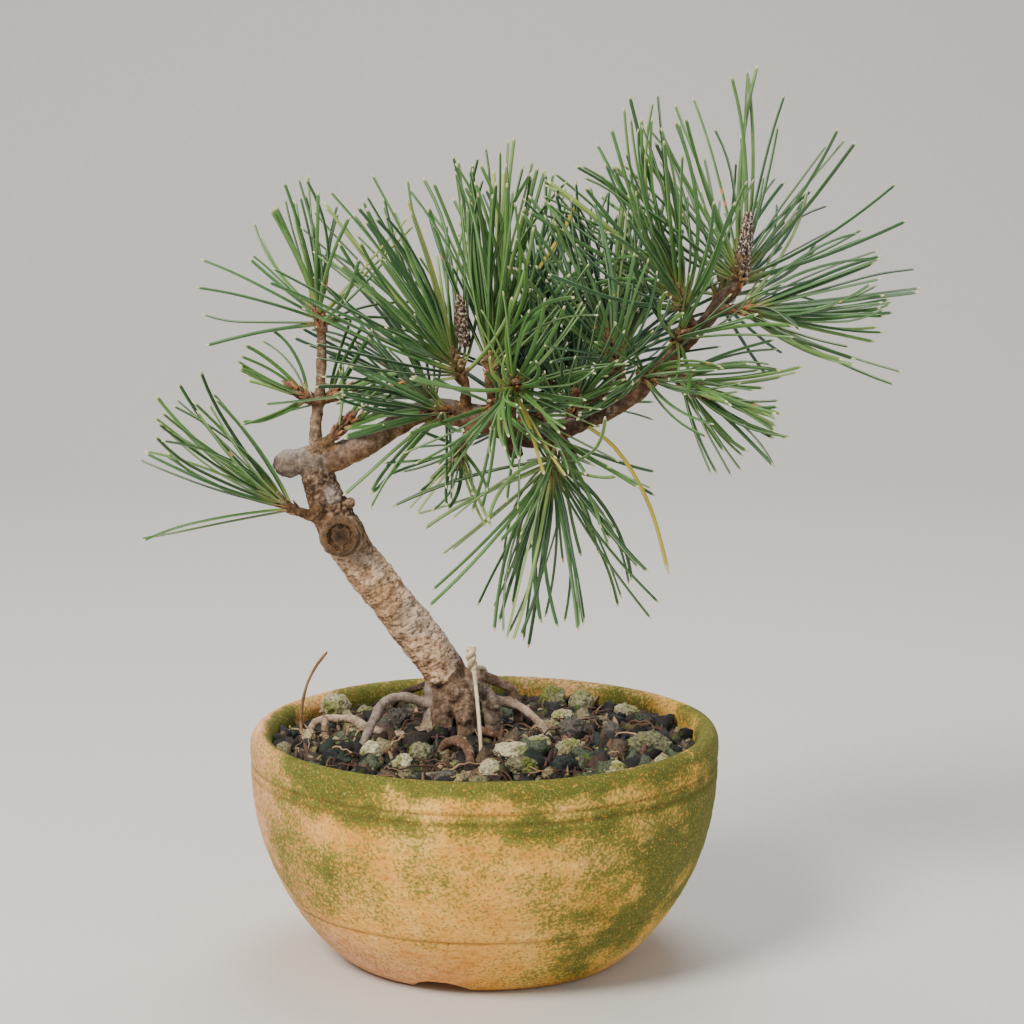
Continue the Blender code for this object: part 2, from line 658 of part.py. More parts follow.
make_tie()
make_pocket("tie", TIE_STRAND)
place(tube_mesh("dry_stem", DRY_STEM, ROOT_SIDES), "dry_stem", straw, bonsai)
make_pocket("stem", DRY_STEM)
make_wood()
for bud_name, bud in BUDS.items():
    make_bud(bud_name, *bud)
for order_in_list, (tuft_name, (_, tuft_base, *rest)) in enumerate(TUFTS.items()):
    make_tuft(tuft_name, tuft_base, *rest, seed=100 + order_in_list)
for kind, finish_used in (("pumice", pumice), ("lava", lava)):
    for number, grain in enumerate(GRAINS[kind], 1):
        make_grain(f"grain_{kind}_{number:02d}", grain, finish_used, seed=number)
make_pot()
make_screen()
make_soil()
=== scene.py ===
import json
import math
import random

import bmesh
import bpy
from mathutils import Matrix, Vector, kdtree, noise

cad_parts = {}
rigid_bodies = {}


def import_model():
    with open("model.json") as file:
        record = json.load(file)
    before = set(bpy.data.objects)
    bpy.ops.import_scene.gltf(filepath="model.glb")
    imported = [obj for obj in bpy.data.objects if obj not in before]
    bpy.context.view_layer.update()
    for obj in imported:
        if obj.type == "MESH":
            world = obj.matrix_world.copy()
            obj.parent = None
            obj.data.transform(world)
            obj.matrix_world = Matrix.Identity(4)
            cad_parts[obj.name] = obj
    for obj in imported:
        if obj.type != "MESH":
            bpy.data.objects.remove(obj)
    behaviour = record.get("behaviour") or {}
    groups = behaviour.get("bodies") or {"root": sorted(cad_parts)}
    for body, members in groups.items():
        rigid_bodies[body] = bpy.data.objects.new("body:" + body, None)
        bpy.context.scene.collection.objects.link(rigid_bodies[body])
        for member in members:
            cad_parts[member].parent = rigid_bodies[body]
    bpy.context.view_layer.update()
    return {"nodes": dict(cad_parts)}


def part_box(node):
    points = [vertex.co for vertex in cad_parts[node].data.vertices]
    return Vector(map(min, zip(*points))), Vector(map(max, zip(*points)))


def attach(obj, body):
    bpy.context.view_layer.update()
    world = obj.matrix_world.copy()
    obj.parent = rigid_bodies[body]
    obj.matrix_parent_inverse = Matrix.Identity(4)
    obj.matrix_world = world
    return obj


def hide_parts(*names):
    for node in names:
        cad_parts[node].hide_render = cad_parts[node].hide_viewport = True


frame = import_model()

# Lengths are in millimetres and points are measured from the pot's axis at table level, but the lamps
# and the paper are in metres.
mm = 0.001
potLow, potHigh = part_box("pot")
potAxis = Vector(((potLow.x + potHigh.x) / 2, (potLow.y + potHigh.y) / 2, 0))
goldenAngle = math.radians(137.508)
up = Vector((0, 0, 1))


def linear(hexColour):
    parts = [int(hexColour[i:i + 2], 16) / 255 for i in (1, 3, 5)]
    return (*[p / 12.92 if p <= 0.04045 else ((p + 0.055) / 1.055) ** 2.4 for p in parts], 1.0)


def addNode(tree, kind, inputs=None, stops=None, **settings):
    # inputs: socket name or index to a value, a hex colour, a socket or a node
    # stops: position and colour of each stop of a ramp
    made = tree.nodes.new(kind)
    for key, value in settings.items():
        setattr(made, key, value)
    if stops:
        ramp = made.color_ramp
        while len(ramp.elements) < len(stops):
            ramp.elements.new(1.0)
        for element, (position, colour) in zip(ramp.elements, stops):
            element.position = position
            element.color = linear(colour)
    for key, value in (inputs or {}).items():
        if isinstance(key, int):
            socket = made.inputs[key]
        else:
            socket = next(s for s in made.inputs if s.name == key and s.enabled)
        if isinstance(value, bpy.types.Node):
            value = next(s for s in value.outputs if s.enabled)
        if isinstance(value, bpy.types.NodeSocket):
            tree.links.new(value, socket)
        elif isinstance(value, str) and value.startswith("#"):
            socket.default_value = linear(value)
        else:
            socket.default_value = value
    return made


def newFinish(name, *painted):
    # a material, its tree and its shader, the place on the object, and each painted value that it reads
    made = bpy.data.materials.new(name)
    made.use_nodes = True
    tree = made.node_tree
    spot = addNode(tree, "ShaderNodeTexCoord").outputs["Object"]
    reads = [addNode(tree, "ShaderNodeAttribute", attribute_name=key).outputs["Fac"] for key in painted]
    return made, tree, tree.nodes["Principled BSDF"], spot, *reads

def dress(tree, shader, colour, roughness, height, bumpMm, strength=1.0):
    # colour, roughness and height are nodes; bumpMm is how deep the height pattern is
    bump = addNode(tree, "ShaderNodeBump", {"Strength": strength, "Distance": bumpMm * mm, "Height": height})
    for name, source in (("Base Color", colour), ("Roughness", roughness), ("Normal", bump)):
        tree.links.new(next(s for s in source.outputs if s.enabled), shader.inputs[name])


def smoothstep(low, high, value):
    share = min(max((value - low) / (high - low), 0.0), 1.0)
    return share * share * (3 - 2 * share)


def blendColours(first, second, share):
    return [a + (b - a) * share for a, b in zip(first, second)]


def newMesh(name, points, faces):
    mesh = bpy.data.meshes.new(name)
    mesh.from_pydata(points, [], faces)
    mesh.update()
    return mesh


def paint(mesh, name, values):
    # one number for each point, read by the materials
    attribute = mesh.attributes.new(name, "FLOAT", "POINT")
    attribute.data.foreach_set("value", values)


def addPiece(name, mesh, slotName, *nodes):
    # the mesh is in millimetres round the pot's axis; its place goes into its points
    mesh.transform(Matrix.Translation(potAxis) @ Matrix.Scale(mm, 4))
    mesh.shade_smooth()
    piece = bpy.data.objects.new(name, mesh)
    bpy.context.scene.collection.objects.link(piece)
    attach(piece, "root")
    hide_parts(*nodes)
    return piece


def smoothRoute(route, step):
    # a smooth curve through the route's own points, each given as x, y, z and radius
    spots = [Vector(row[:3]) for row in route]
    radii = [row[3] for row in route]
    ends = [spots[0] * 2 - spots[1], *spots, spots[-1] * 2 - spots[-2]]
    result = []
    for i in range(len(spots) - 1):
        a, b, c, d = ends[i:i + 4]
        count = max(2, round((c - b).length / step))
        for k in range(count):
            t = k / count
            bend = (3 * b - a - 3 * c + d) * t ** 3 + (2 * a - 5 * b + 4 * c - d) * t ** 2 + (c - a) * t
            ease = t * t * (3 - 2 * t)
            result.append((b + bend * 0.5, radii[i] * (1 - ease) + radii[i + 1] * ease))
    result.append((spots[-1], radii[-1]))
    return result


def framesAlong(spots):
    # a tangent, a side and an upward vector at each point, with no sudden twist
    side = None
    frames = []
    for i, spot in enumerate(spots):
        tangent = (spots[min(i + 1, len(spots) - 1)] - spots[max(i - 1, 0)]).normalized()
        if side is None:
            side = tangent.orthogonal().normalized()
        side = (side - tangent * side.dot(tangent)).normalized()
        frames.append((tangent, side, tangent.cross(side)))
    return frames


print("stage: camera, light and floor")

view = {"place": (8.8, -1067.8, 335.6), "tilt": 79.84, "lens": 120.0, "sensor": 36.0, "clip": 0.05}
light = {
    "sky": 0.42, "skyColour": "#EEF1F6", "aim": (0.0, 0.0, 0.14),
    # each lamp: place, size, power and colour
    "lamps": {
        "key": ((-0.75, -0.85, 1.15), 0.6, 34.0, "#FFF6EA"),
        "fill": ((0.95, -0.9, 0.55), 1.1, 5.0, "#F2F6FF"),
        "top": ((0.1, 0.5, 1.3), 0.8, 12.0, "#FFFFFF"),
    },
}
paperSheet = {"reach": 3.0, "back": 0.9, "bend": 0.7, "height": 3.0, "steps": 24,
              "pale": "#D4D1CC", "dark": "#CFCCC8"}


def aimLamp(name, place, size, power, colour):
    lamp = bpy.data.lights.new(name, "AREA")
    lamp.shape = "DISK"
    lamp.size = size
    lamp.energy = power
    lamp.color = linear(colour)[:3]
    holder = bpy.data.objects.new(name, lamp)
    bpy.context.scene.collection.objects.link(holder)
    holder.location = place
    holder.rotation_euler = (Vector(light["aim"]) - Vector(place)).to_track_quat("-Z", "Y").to_euler()


def makeCamera():
    lens = bpy.data.cameras.new("camera")
    lens.lens = view["lens"]
    lens.sensor_width = view["sensor"]
    lens.clip_start = view["clip"]
    holder = bpy.data.objects.new("camera", lens)
    bpy.context.scene.collection.objects.link(holder)
    holder.location = Vector(view["place"]) * mm + potAxis
    holder.rotation_euler = (math.radians(view["tilt"]), 0, 0)
    bpy.context.scene.camera = holder


def makeLight():
    sky = bpy.data.worlds.new("soft studio")
    sky.use_nodes = True
    background = sky.node_tree.nodes["Background"]
    background.inputs["Color"].default_value = linear(light["skyColour"])
    background.inputs["Strength"].default_value = light["sky"]
    bpy.context.scene.world = sky
    for name, lamp in light["lamps"].items():
        aimLamp(name, *lamp)


def makePaper():
    # a sheet that lies flat and curves up behind
    back, bend, steps = paperSheet["back"], paperSheet["bend"], paperSheet["steps"]
    outline = [(-paperSheet["reach"], 0.0), (back, 0.0)]
    outline += [(back + bend * math.sin(a), bend - bend * math.cos(a))
                for a in (math.pi / 2 * k / steps for k in range(1, steps + 1))]
    outline += [(back + bend, paperSheet["height"])]
    points = [(x, y, z) for y, z in outline for x in (-paperSheet["reach"], paperSheet["reach"])]
    faces = [(2 * k, 2 * k + 1, 2 * k + 3, 2 * k + 2) for k in range(len(outline) - 1)]
    floor = bpy.data.objects.new("paper_sweep", newMesh("paper_sweep", points, faces))
    floor.data.shade_smooth()
    bpy.context.scene.collection.objects.link(floor)
    # matt studio paper: pale, with hardly any tooth
    paper, tree, shader, spot = newFinish("matt studio paper")
    tooth = addNode(tree, "ShaderNodeTexNoise", {"Vector": spot, "Scale": 1 / (2 * mm), "Detail": 2.0})
    tint = addNode(tree, "ShaderNodeValToRGB", {"Fac": tooth},
                   stops=((0.3, paperSheet["pale"]), (0.7, paperSheet["dark"])))
    dull = addNode(tree, "ShaderNodeMath", {0: tooth, 1: 0.45}, operation="ADD")
    dress(tree, shader, tint, dull, tooth, 0.02, 0.3)
    floor.data.materials.append(paper)


makeCamera()
makeLight()
makePaper()


print("stage: paths swept by Geometry Nodes")

# Everything thin is a path with a thickness at each point: needles, sheaths, scales, root hairs,
# the tie and the dry stalk. One tree sweeps a flattened ring along them all.


def makeSweepTree():
    tree = bpy.data.node_groups.new("sweep along paths", "GeometryNodeTree")
    for name, kind in (("Paths", "Geometry"), ("Sides", "Int"), ("Flatness", "Float"),
                       ("Finish", "Material"), ("Second Finish", "Material"), ("Third Finish", "Material")):
        tree.interface.new_socket(name, in_out="INPUT", socket_type="NodeSocket" + kind)
    tree.interface.new_socket("Swept", in_out="OUTPUT", socket_type="NodeSocketGeometry")
    start = addNode(tree, "NodeGroupInput")
    thickness, twist, part = (
        addNode(tree, "GeometryNodeInputNamedAttribute", {"Name": name}, data_type="FLOAT")
        for name in ("thickness", "twist", "part"))
    path = addNode(tree, "GeometryNodeMeshToCurve", {"Mesh": start.outputs["Paths"]})
    path = addNode(tree, "GeometryNodeSetCurveTilt", {"Curve": path, "Tilt": twist})
    ring = addNode(tree, "GeometryNodeCurvePrimitiveCircle",
                   {"Resolution": start.outputs["Sides"], "Radius": 1.0})
    around = addNode(tree, "GeometryNodeSplineParameter")
    ring = addNode(tree, "GeometryNodeStoreNamedAttribute",
                   {"Geometry": ring, "Name": "around", "Value": around}, data_type="FLOAT", domain="POINT")
    squeeze = addNode(tree, "ShaderNodeCombineXYZ", {"X": 1.0, "Y": start.outputs["Flatness"], "Z": 1.0})
    ring = addNode(tree, "GeometryNodeTransform", {"Geometry": ring, "Scale": squeeze})
    swept = addNode(tree, "GeometryNodeCurveToMesh",
                    {"Curve": path, "Profile Curve": ring, "Scale": thickness, "Fill Caps": True})
    swept = addNode(tree, "GeometryNodeRealizeInstances", {"Geometry": swept})
    swept = addNode(tree, "GeometryNodeSetMaterial",
                    {"Geometry": swept, "Material": start.outputs["Finish"]})
    for number, name in ((1.0, "Second Finish"), (2.0, "Third Finish")):
        chosen = addNode(tree, "FunctionNodeCompare", {"A": part, "B": number, "Epsilon": 0.1},
                         data_type="FLOAT", operation="EQUAL")
        swept = addNode(tree, "GeometryNodeSetMaterial",
                        {"Geometry": swept, "Selection": chosen, "Material": start.outputs[name]})
    addNode(tree, "NodeGroupOutput", {"Swept": swept})
    return tree


sweepTree = makeSweepTree()


def plainMesh(mesh, tree, values):
    # runs a tree on a mesh and gives back what it makes as a plain mesh
    holder = bpy.data.objects.new("work", mesh)
    bpy.context.scene.collection.objects.link(holder)
    modifier = holder.modifiers.new("nodes", "NODES")
    modifier.node_group = tree
    for item in tree.interface.items_tree:
        if item.in_out == "INPUT" and item.name in values:
            modifier[item.identifier] = values[item.name]
    evaluated = holder.evaluated_get(bpy.context.evaluated_depsgraph_get())
    made = bpy.data.meshes.new_from_object(evaluated)
    holder.modifiers.remove(modifier)
    bpy.data.objects.remove(holder)
    return made


class Paths:
    # collects paths, each a list of points and radii, and sweeps them into one mesh
    def __init__(self):
        self.points, self.edges = [], []
        self.values = {key: [] for key in ("thickness", "twist", "part", "tone", "hue", "along")}

    def add(self, spots, radii, part=0.0, tone=0.5, hue=0.5, twist=0.0):
        first = len(self.points)
        last = len(spots) - 1
        self.points += [tuple(spot) for spot in spots]
        self.edges += [(first + k, first + k + 1) for k in range(last)]
        rows = {"thickness": radii, "along": [k / last for k in range(last + 1)]}
        rows |= {key: [value] * (last + 1)
                 for key, value in (("twist", twist), ("part", part), ("tone", tone), ("hue", hue))}
        for key, row in rows.items():
            self.values[key] += row

    def sweep(self, name, sides, flatness, finish, second=None, third=None):
        mesh = bpy.data.meshes.new(name)
        mesh.from_pydata(self.points, self.edges, [])
        for key, row in self.values.items():
            paint(mesh, key, row)
        made = plainMesh(mesh, sweepTree, {
            "Sides": sides, "Flatness": flatness, "Finish": finish,
            "Second Finish": second or finish, "Third Finish": third or finish})
        made.name = name
        return made


pot = {
    "height": 74.5, "radius": 75.0, "wall": 7.0, "shoulder": 62.0, "bulge": 0.8,
    "footRadius": 44.0, "footWidth": 9.0, "footHollow": 3.6, "footEdge": 0.7,
    "floor": 9.8, "floorTurn": 14, "floorEdge": 8, "drainRadius": 6.0,
    "innerLift": 3.0, "innerWall": 5.6,  # the inside follows the outside, this much higher and thinner
    "lipRise": 1.4,  # height of the lip's round over half the wall
    "lines": ((21.3, 0.45, 0.5), (61.6, 0.6, 0.55), (64.8, 0.5, 0.5)),  # height, depth, half width
    "ridges": ((0.04, 2.05, 0.0), (0.06, 0.83, 1.3)),  # height, pace and start of the soft throwing ridges
    "notchHalf": 9.2, "notchRise": 4.2, "notchAngles": (-107, 13, 133), "notchFrom": 30,
    "steps": 300, "outerSteps": 100, "lipSteps": 24, "innerSteps": 25,
    "wobble": 0.35, "rimWobble": 0.25,
    # green growth outside: bearing from the front (right is positive), height, half width in degrees,
    # half height, strength
    "growth": (
        (-39, 74, 16, 6.5, 2.7), (-8, 75, 28, 4.8, 2.4), (18, 74, 18, 4.5, 1.6), (-38, 63, 18, 4, 1.7),
        (-8, 61, 22, 3.5, 1.0), (16, 61, 12, 6, 0.75), (-62, 40, 13, 20, 0.75), (-42, 36, 12, 18, 0.6),
        (-20, 42, 10, 14, 0.42), (8, 46, 12, 14, 0.3), (32, 56, 9, 12, 0.7), (50, 40, 16, 20, 1.25),
        (74, 44, 20, 26, 1.3), (42, 22, 16, 14, 0.9), (64, 76, 34, 5.5, 2.5), (84, 66, 16, 10, 1.1),
        (48, 61.5, 26, 2.2, 0.8), (98, 56, 16, 28, 1.2), (30, 10, 16, 8, 0.6), (24, 30, 12, 20, 0.4),
        (140, 50, 30, 30, 0.8), (-150, 55, 30, 26, 0.7), (180, 24, 50, 16, 0.5),
    ),
    # the same on the inside wall: bearing, half width, strength
    "innerGrowth": ((-125, 62, 1.5), (-60, 40, 1.1), (110, 40, 0.9), (60, 30, 1.0), (180, 18, 0.5)),
}


def wallRadius(height):
    rise = 1 - (1 - min(height, pot["shoulder"]) / pot["shoulder"]) ** 2
    return pot["footRadius"] + (pot["radius"] - pot["footRadius"]) * rise ** pot["bulge"]


def innerRadius(height):
    follows = wallRadius(max(height - pot["innerLift"], 0)) - pot["innerWall"]
    return min(pot["radius"] - pot["wall"], follows)


def lineDepth(height):
    cut = sum(depth * math.exp(-((height - middle) / half) ** 2) for middle, depth, half in pot["lines"])
    return sum(rise * math.sin(height * pace + start) for rise, pace, start in pot["ridges"]) - cut


def potProfile():
    # from the drain hole down under the foot, up the outside, over the lip and down the inside
    half = pot["wall"] / 2
    middle = pot["radius"] - half
    inside = pot["footRadius"] - pot["footWidth"]
    drain, hollow, floor, low = pot["drainRadius"], pot["footHollow"], pot["floor"], pot["footEdge"]
    profile = [(drain, floor - k) for k in (0, 2, 4)] + [(drain, hollow)]
    profile += [(drain + (inside - 2 - drain) * k / 8, hollow) for k in (1, 3, 5, 7, 8)]
    profile += [(inside - 1.2, 2.0), (inside - 0.5, 0.8), (inside, 0.15), (inside + 0.6, 0.0)]
    profile += [(inside + 0.6 + k, 0.0) for k in (1, 2, 3, 4, 5, 6)]
    profile += [(pot["footRadius"] - 0.9, 0.0), (pot["footRadius"] - 0.2, 0.25)]
    lip = half * pot["lipRise"]
    top = pot["height"] - lip
    for k in range(pot["outerSteps"] + 1):
        height = low + (top - low) * k / pot["outerSteps"]
        profile.append((wallRadius(height) + lineDepth(height) * smoothstep(0, 4, height), height))
    for k in range(1, pot["lipSteps"]):
        a = math.pi * k / pot["lipSteps"]
        profile.append((middle + half * math.cos(a), top + lip * math.sin(a)))
    for k in range(pot["innerSteps"] + 1):
        height = top - (top - pot["floorTurn"]) * k / pot["innerSteps"]
        profile.append((innerRadius(height), height))
    edge = innerRadius(pot["floorTurn"])
    return profile + [(edge - 3, 11.4), (edge - pot["floorEdge"], floor), (20, floor), (10, floor)]


def turn(name, profile, steps, shape, closed):
    # turns (radius, height) points about the axis; shape moves each point a little
    points, faces, rings = [], [], []
    for radius, height in profile:
        count = steps if radius > 0.001 else 1
        rings.append((len(points), count))
        for k in range(count):
            a = math.tau * k / steps
            points.append(shape(Vector((radius * math.cos(a), radius * math.sin(a), height))))
    pairs = list(zip(rings, rings[1:]))
    if closed:
        pairs.append((rings[-1], rings[0]))
    for (first, countA), (second, countB) in pairs:
        for k in range(steps):
            n = (k + 1) % steps
            if countA == 1:
                faces.append((first, second + n, second + k))
            elif countB == 1:
                faces.append((first + k, first + n, second))
            else:
                faces.append((first + k, first + n, second + n, second + k))
    return newMesh(name, points, faces)


def shapePot(point):
    # a hand-thrown bowl is never quite round; the notches lift the foot ring into three arches
    lean = pot["wobble"] * math.sin(2 * math.atan2(point.y, point.x) + 0.6) * smoothstep(20, 70, point.z)
    flat = Vector((point.x, point.y, 0))
    if flat.length > pot["footRadius"]:
        lean += pot["wobble"] * noise.fractal(point * 0.03, 1.0, 2.0, 2)
        point = point + flat.normalized() * lean
        point += up * pot["rimWobble"] * noise.noise(point * 0.025) * smoothstep(60, 74, point.z)
    for angle in pot["notchAngles"]:
        spoke = Vector((math.cos(math.radians(angle)), math.sin(math.radians(angle)), 0))
        across = abs(point.cross(spoke).z)
        if point.dot(spoke) > pot["notchFrom"] and across < pot["notchHalf"]:
            arch = pot["notchRise"] * (1 - (across / pot["notchHalf"]) ** 2) ** 0.6
            point = Vector((point.x, point.y, max(point.z, arch)))
    return point


def growthAt(point):
    bearing = math.degrees(math.atan2(point.x, -point.y))
    radius = math.hypot(point.x, point.y)

    def off(middle):
        return (bearing - middle + 180) % 360 - 180

    outside = sum(strength * math.exp(-(off(middle) / wide) ** 2 - ((point.z - height) / tall) ** 2)
                  for middle, height, wide, tall, strength in pot["growth"])
    inside = sum(strength * math.exp(-(off(middle) / wide) ** 2)
                 for middle, wide, strength in pot["innerGrowth"])
    share = smoothstep(72.5, 69.0, radius) * smoothstep(50, 60, point.z)
    amount = outside + (inside - outside) * share
    patch = noise.fractal(Vector((point.x, point.y, point.z * 1.3)) * 0.06, 0.9, 2.0, 5)
    return max(0.0, min(1.2, amount * (0.85 + 0.7 * patch) + 0.3 * patch + 0.02))


def grooveAt(point):
    # the surface is darker in the cut lines
    return max(math.exp(-((point.z - middle) / half) ** 2) for middle, depth, half in pot["lines"])


def makeTerracotta():
    # low-fired terracotta, thrown and unglazed: chalky orange with salmon and ochre clouds, dark specks,
    # fine throwing lines that are darker in the cuts, and green algae in the damp places
    finish, tree, shader, spot, growth, blush, groove = newFinish(
        "thrown terracotta with algae", "growth", "blush", "groove")
    cloud = addNode(tree, "ShaderNodeTexNoise",
                    {"Vector": spot, "Scale": 1 / (26 * mm), "Detail": 5.0, "Roughness": 0.6})
    # the potter's fingers drew everything out sideways
    drawn = addNode(tree, "ShaderNodeVectorMath", {0: spot, 1: (1.0, 1.0, 2.6)}, operation="MULTIPLY")
    mottle = addNode(tree, "ShaderNodeTexNoise",
                     {"Vector": drawn, "Scale": 1 / (4 * mm), "Detail": 7.0, "Roughness": 0.78})
    grit = addNode(tree, "ShaderNodeTexNoise",
                   {"Vector": spot, "Scale": 1 / (1.0 * mm), "Detail": 3.0, "Roughness": 0.65})
    clay = addNode(tree, "ShaderNodeValToRGB", {"Fac": cloud},
                   stops=((0.28, "#E09A42"), (0.45, "#F6B652"), (0.6, "#FFCB6C"), (0.78, "#FCC486")))
    salmon = addNode(tree, "ShaderNodeValToRGB", {"Fac": mottle}, stops=((0.3, "#D4966A"), (0.7, "#F4C29A")))
    base = addNode(tree, "ShaderNodeMix", {"Factor": blush, "A": clay, "B": salmon}, data_type="RGBA")
    # fine light and dark grain
    grain = addNode(tree, "ShaderNodeValToRGB", {"Fac": mottle},
                    stops=((0.32, "#6E5030"), (0.43, "#DECBA8"), (0.54, "#FFFFFF")))
    base = addNode(tree, "ShaderNodeMix", {"Factor": 0.62, "A": base, "B": grain},
                   data_type="RGBA", blend_type="MULTIPLY")
    # growth starts in the pores: the fine patterns decide where it takes hold first
    pores = addNode(tree, "ShaderNodeMath", {0: mottle, 1: 3.0, 2: -1.5}, operation="MULTIPLY_ADD")
    fine = addNode(tree, "ShaderNodeMath", {0: grit, 1: 3.4, 2: -1.7}, operation="MULTIPLY_ADD")
    takes = addNode(tree, "ShaderNodeMath", {0: growth, 1: pores}, operation="ADD")
    takes = addNode(tree, "ShaderNodeMath", {0: takes, 1: fine}, operation="ADD")
    veil = addNode(tree, "ShaderNodeMapRange",
                   {"Value": growth, "From Min": 0.08, "From Max": 0.7, "To Max": 0.45})
    film = addNode(tree, "ShaderNodeMapRange",
                   {"Value": takes, "From Min": 0.2, "From Max": 0.8, "To Max": 0.88})
    green = addNode(tree, "ShaderNodeValToRGB", {"Fac": mottle},
                    stops=((0.36, "#3C4414"), (0.48, "#626422"), (0.62, "#989040")))
    thick = addNode(tree, "ShaderNodeMapRange",
                    {"Value": takes, "From Min": 0.8, "From Max": 1.3, "To Max": 0.88})
    deep = addNode(tree, "ShaderNodeValToRGB", {"Fac": grit},
                   stops=((0.36, "#18220A"), (0.48, "#344416"), (0.6, "#66702A"), (0.74, "#ACA65C")))
    # darker in the cut lines
    dirt = addNode(tree, "ShaderNodeMath", {0: groove, 1: 0.5}, operation="MULTIPLY")
    specks = addNode(tree, "ShaderNodeTexVoronoi", {"Vector": spot, "Scale": 1 / (2.6 * mm)}, feature="F1")
    dots = addNode(tree, "ShaderNodeMapRange",
                   {"Value": specks, "From Min": 0.1, "From Max": 0.2, "To Min": 0.45, "To Max": 0.0})
    # an ochre-green veil, the film itself, its thick patches, darkening in the cut lines and specks of iron
    layers = ((veil, "#BFA23A"), (film, green), (thick, deep), (dirt, "#5B4A22"), (dots, "#4A3A22"))
    for share, layer in layers:
        base = addNode(tree, "ShaderNodeMix", {"Factor": share, "A": base, "B": layer}, data_type="RGBA")
    # throwing lines run round the bowl, so the pattern is stretched flat
    level = addNode(tree, "ShaderNodeVectorMath", {0: spot, 1: (0.0, 0.0, 1.0)}, operation="MULTIPLY")
    rings = addNode(tree, "ShaderNodeTexNoise", {"Vector": level, "Scale": 1 / (1.1 * mm), "Detail": 2.0})
    height = addNode(tree, "ShaderNodeMath", {0: rings, 1: 0.2, 2: mottle}, operation="MULTIPLY_ADD")
    height = addNode(tree, "ShaderNodeMath", {0: film, 1: 0.3, 2: height}, operation="MULTIPLY_ADD")
    height = addNode(tree, "ShaderNodeMath", {0: height, 1: grit}, operation="ADD")
    dull = addNode(tree, "ShaderNodeMapRange", {"Value": grit, "To Min": 0.82, "To Max": 0.96})
    dress(tree, shader, base, dull, height, 0.35, 0.6)
    shader.inputs["Specular IOR Level"].default_value = 0.3
    return finish


def makePot():
    mesh = turn("pot", potProfile(), pot["steps"], shapePot, True)
    spots = [v.co.copy() for v in mesh.vertices]
    paint(mesh, "growth", [growthAt(p) for p in spots])
    paint(mesh, "groove", [grooveAt(p) for p in spots])
    # salmon where the clay shows bare: left side, foot and the far rim
    paint(mesh, "blush", [
        min(1.0, smoothstep(-30, -70, p.x + 0.12 * p.z) + smoothstep(26, 4, p.z) * smoothstep(10, -40, p.x)
            + smoothstep(30, 60, p.y) * smoothstep(66, 73, p.z)) for p in spots])
    mesh.materials.append(makeTerracotta())
    addPiece("terracotta_bowl", mesh, "terracotta", "pot")


print("stage: pot")
makePot()


soil = {
    "edge": 68.0, "crown": 70.5, "reach": 66, "top": 62, "pocket": 14.0, "pocketTop": 11.5,
    "steps": 200, "rings": 70, "gap": 0.3, "seed": 5, "kinds": 6,
    # scattered shapes: subdivisions, roughness, proportions, how many on the soil, smallest and largest
    "crumbs": (1, 0.55, (1, 0.9, 0.8), 2700, 0.6, 1.7),
    "grit": (2, 0.8, (1, 0.85, 0.75), 700, 1.3, 3.0),
    "lumps": (2, 0.9, (1, 0.85, 0.7), 230, 2.4, 5.4),
    "strips": (1, 0.5, (1, 0.22, 0.12), 300, 2.5, 6.5),
}
rootHair = {"count": 120, "joints": 8, "shortest": 6, "longest": 20, "spread": 62, "limit": 65,
            "thinnest": 0.16, "thickest": 0.5, "wander": 0.5, "sides": 5}


def soilHeight(radius):
    across = min(radius / (pot["radius"] - pot["wall"]), 1)
    return soil["edge"] + (soil["crown"] - soil["edge"]) * (1 - across ** 2)


def shapeSoil(point):
    # hollows and lumps on top; the surface lies lower at the back on the left
    if point.z < 60 or math.hypot(point.x, point.y) > soil["reach"]:
        return point
    lumps = 1.9 * noise.fractal(point * 0.13, 1.0, 2.0, 3) + 0.4 * noise.noise(point * 0.9)
    low = 1.6 + 1.8 * smoothstep(10, -50, point.x) * smoothstep(-20, 30, point.y)
    return point + Vector((0, 0, lumps - low))


def makeCrumb(name, seed, detail, rough, stretch):
    bm = bmesh.new()
    bmesh.ops.create_icosphere(bm, subdivisions=detail, radius=1.0)
    for vert in bm.verts:
        vert.co *= 1 + rough * noise.fractal(vert.co * 1.3 + Vector((seed * 9.1, 3.3, 0)), 0.9, 2.0, detail)
        vert.co = Vector([a * b for a, b in zip(vert.co, stretch)])
    mesh = bpy.data.meshes.new(name)
    bm.to_mesh(mesh)
    bm.free()
    return mesh


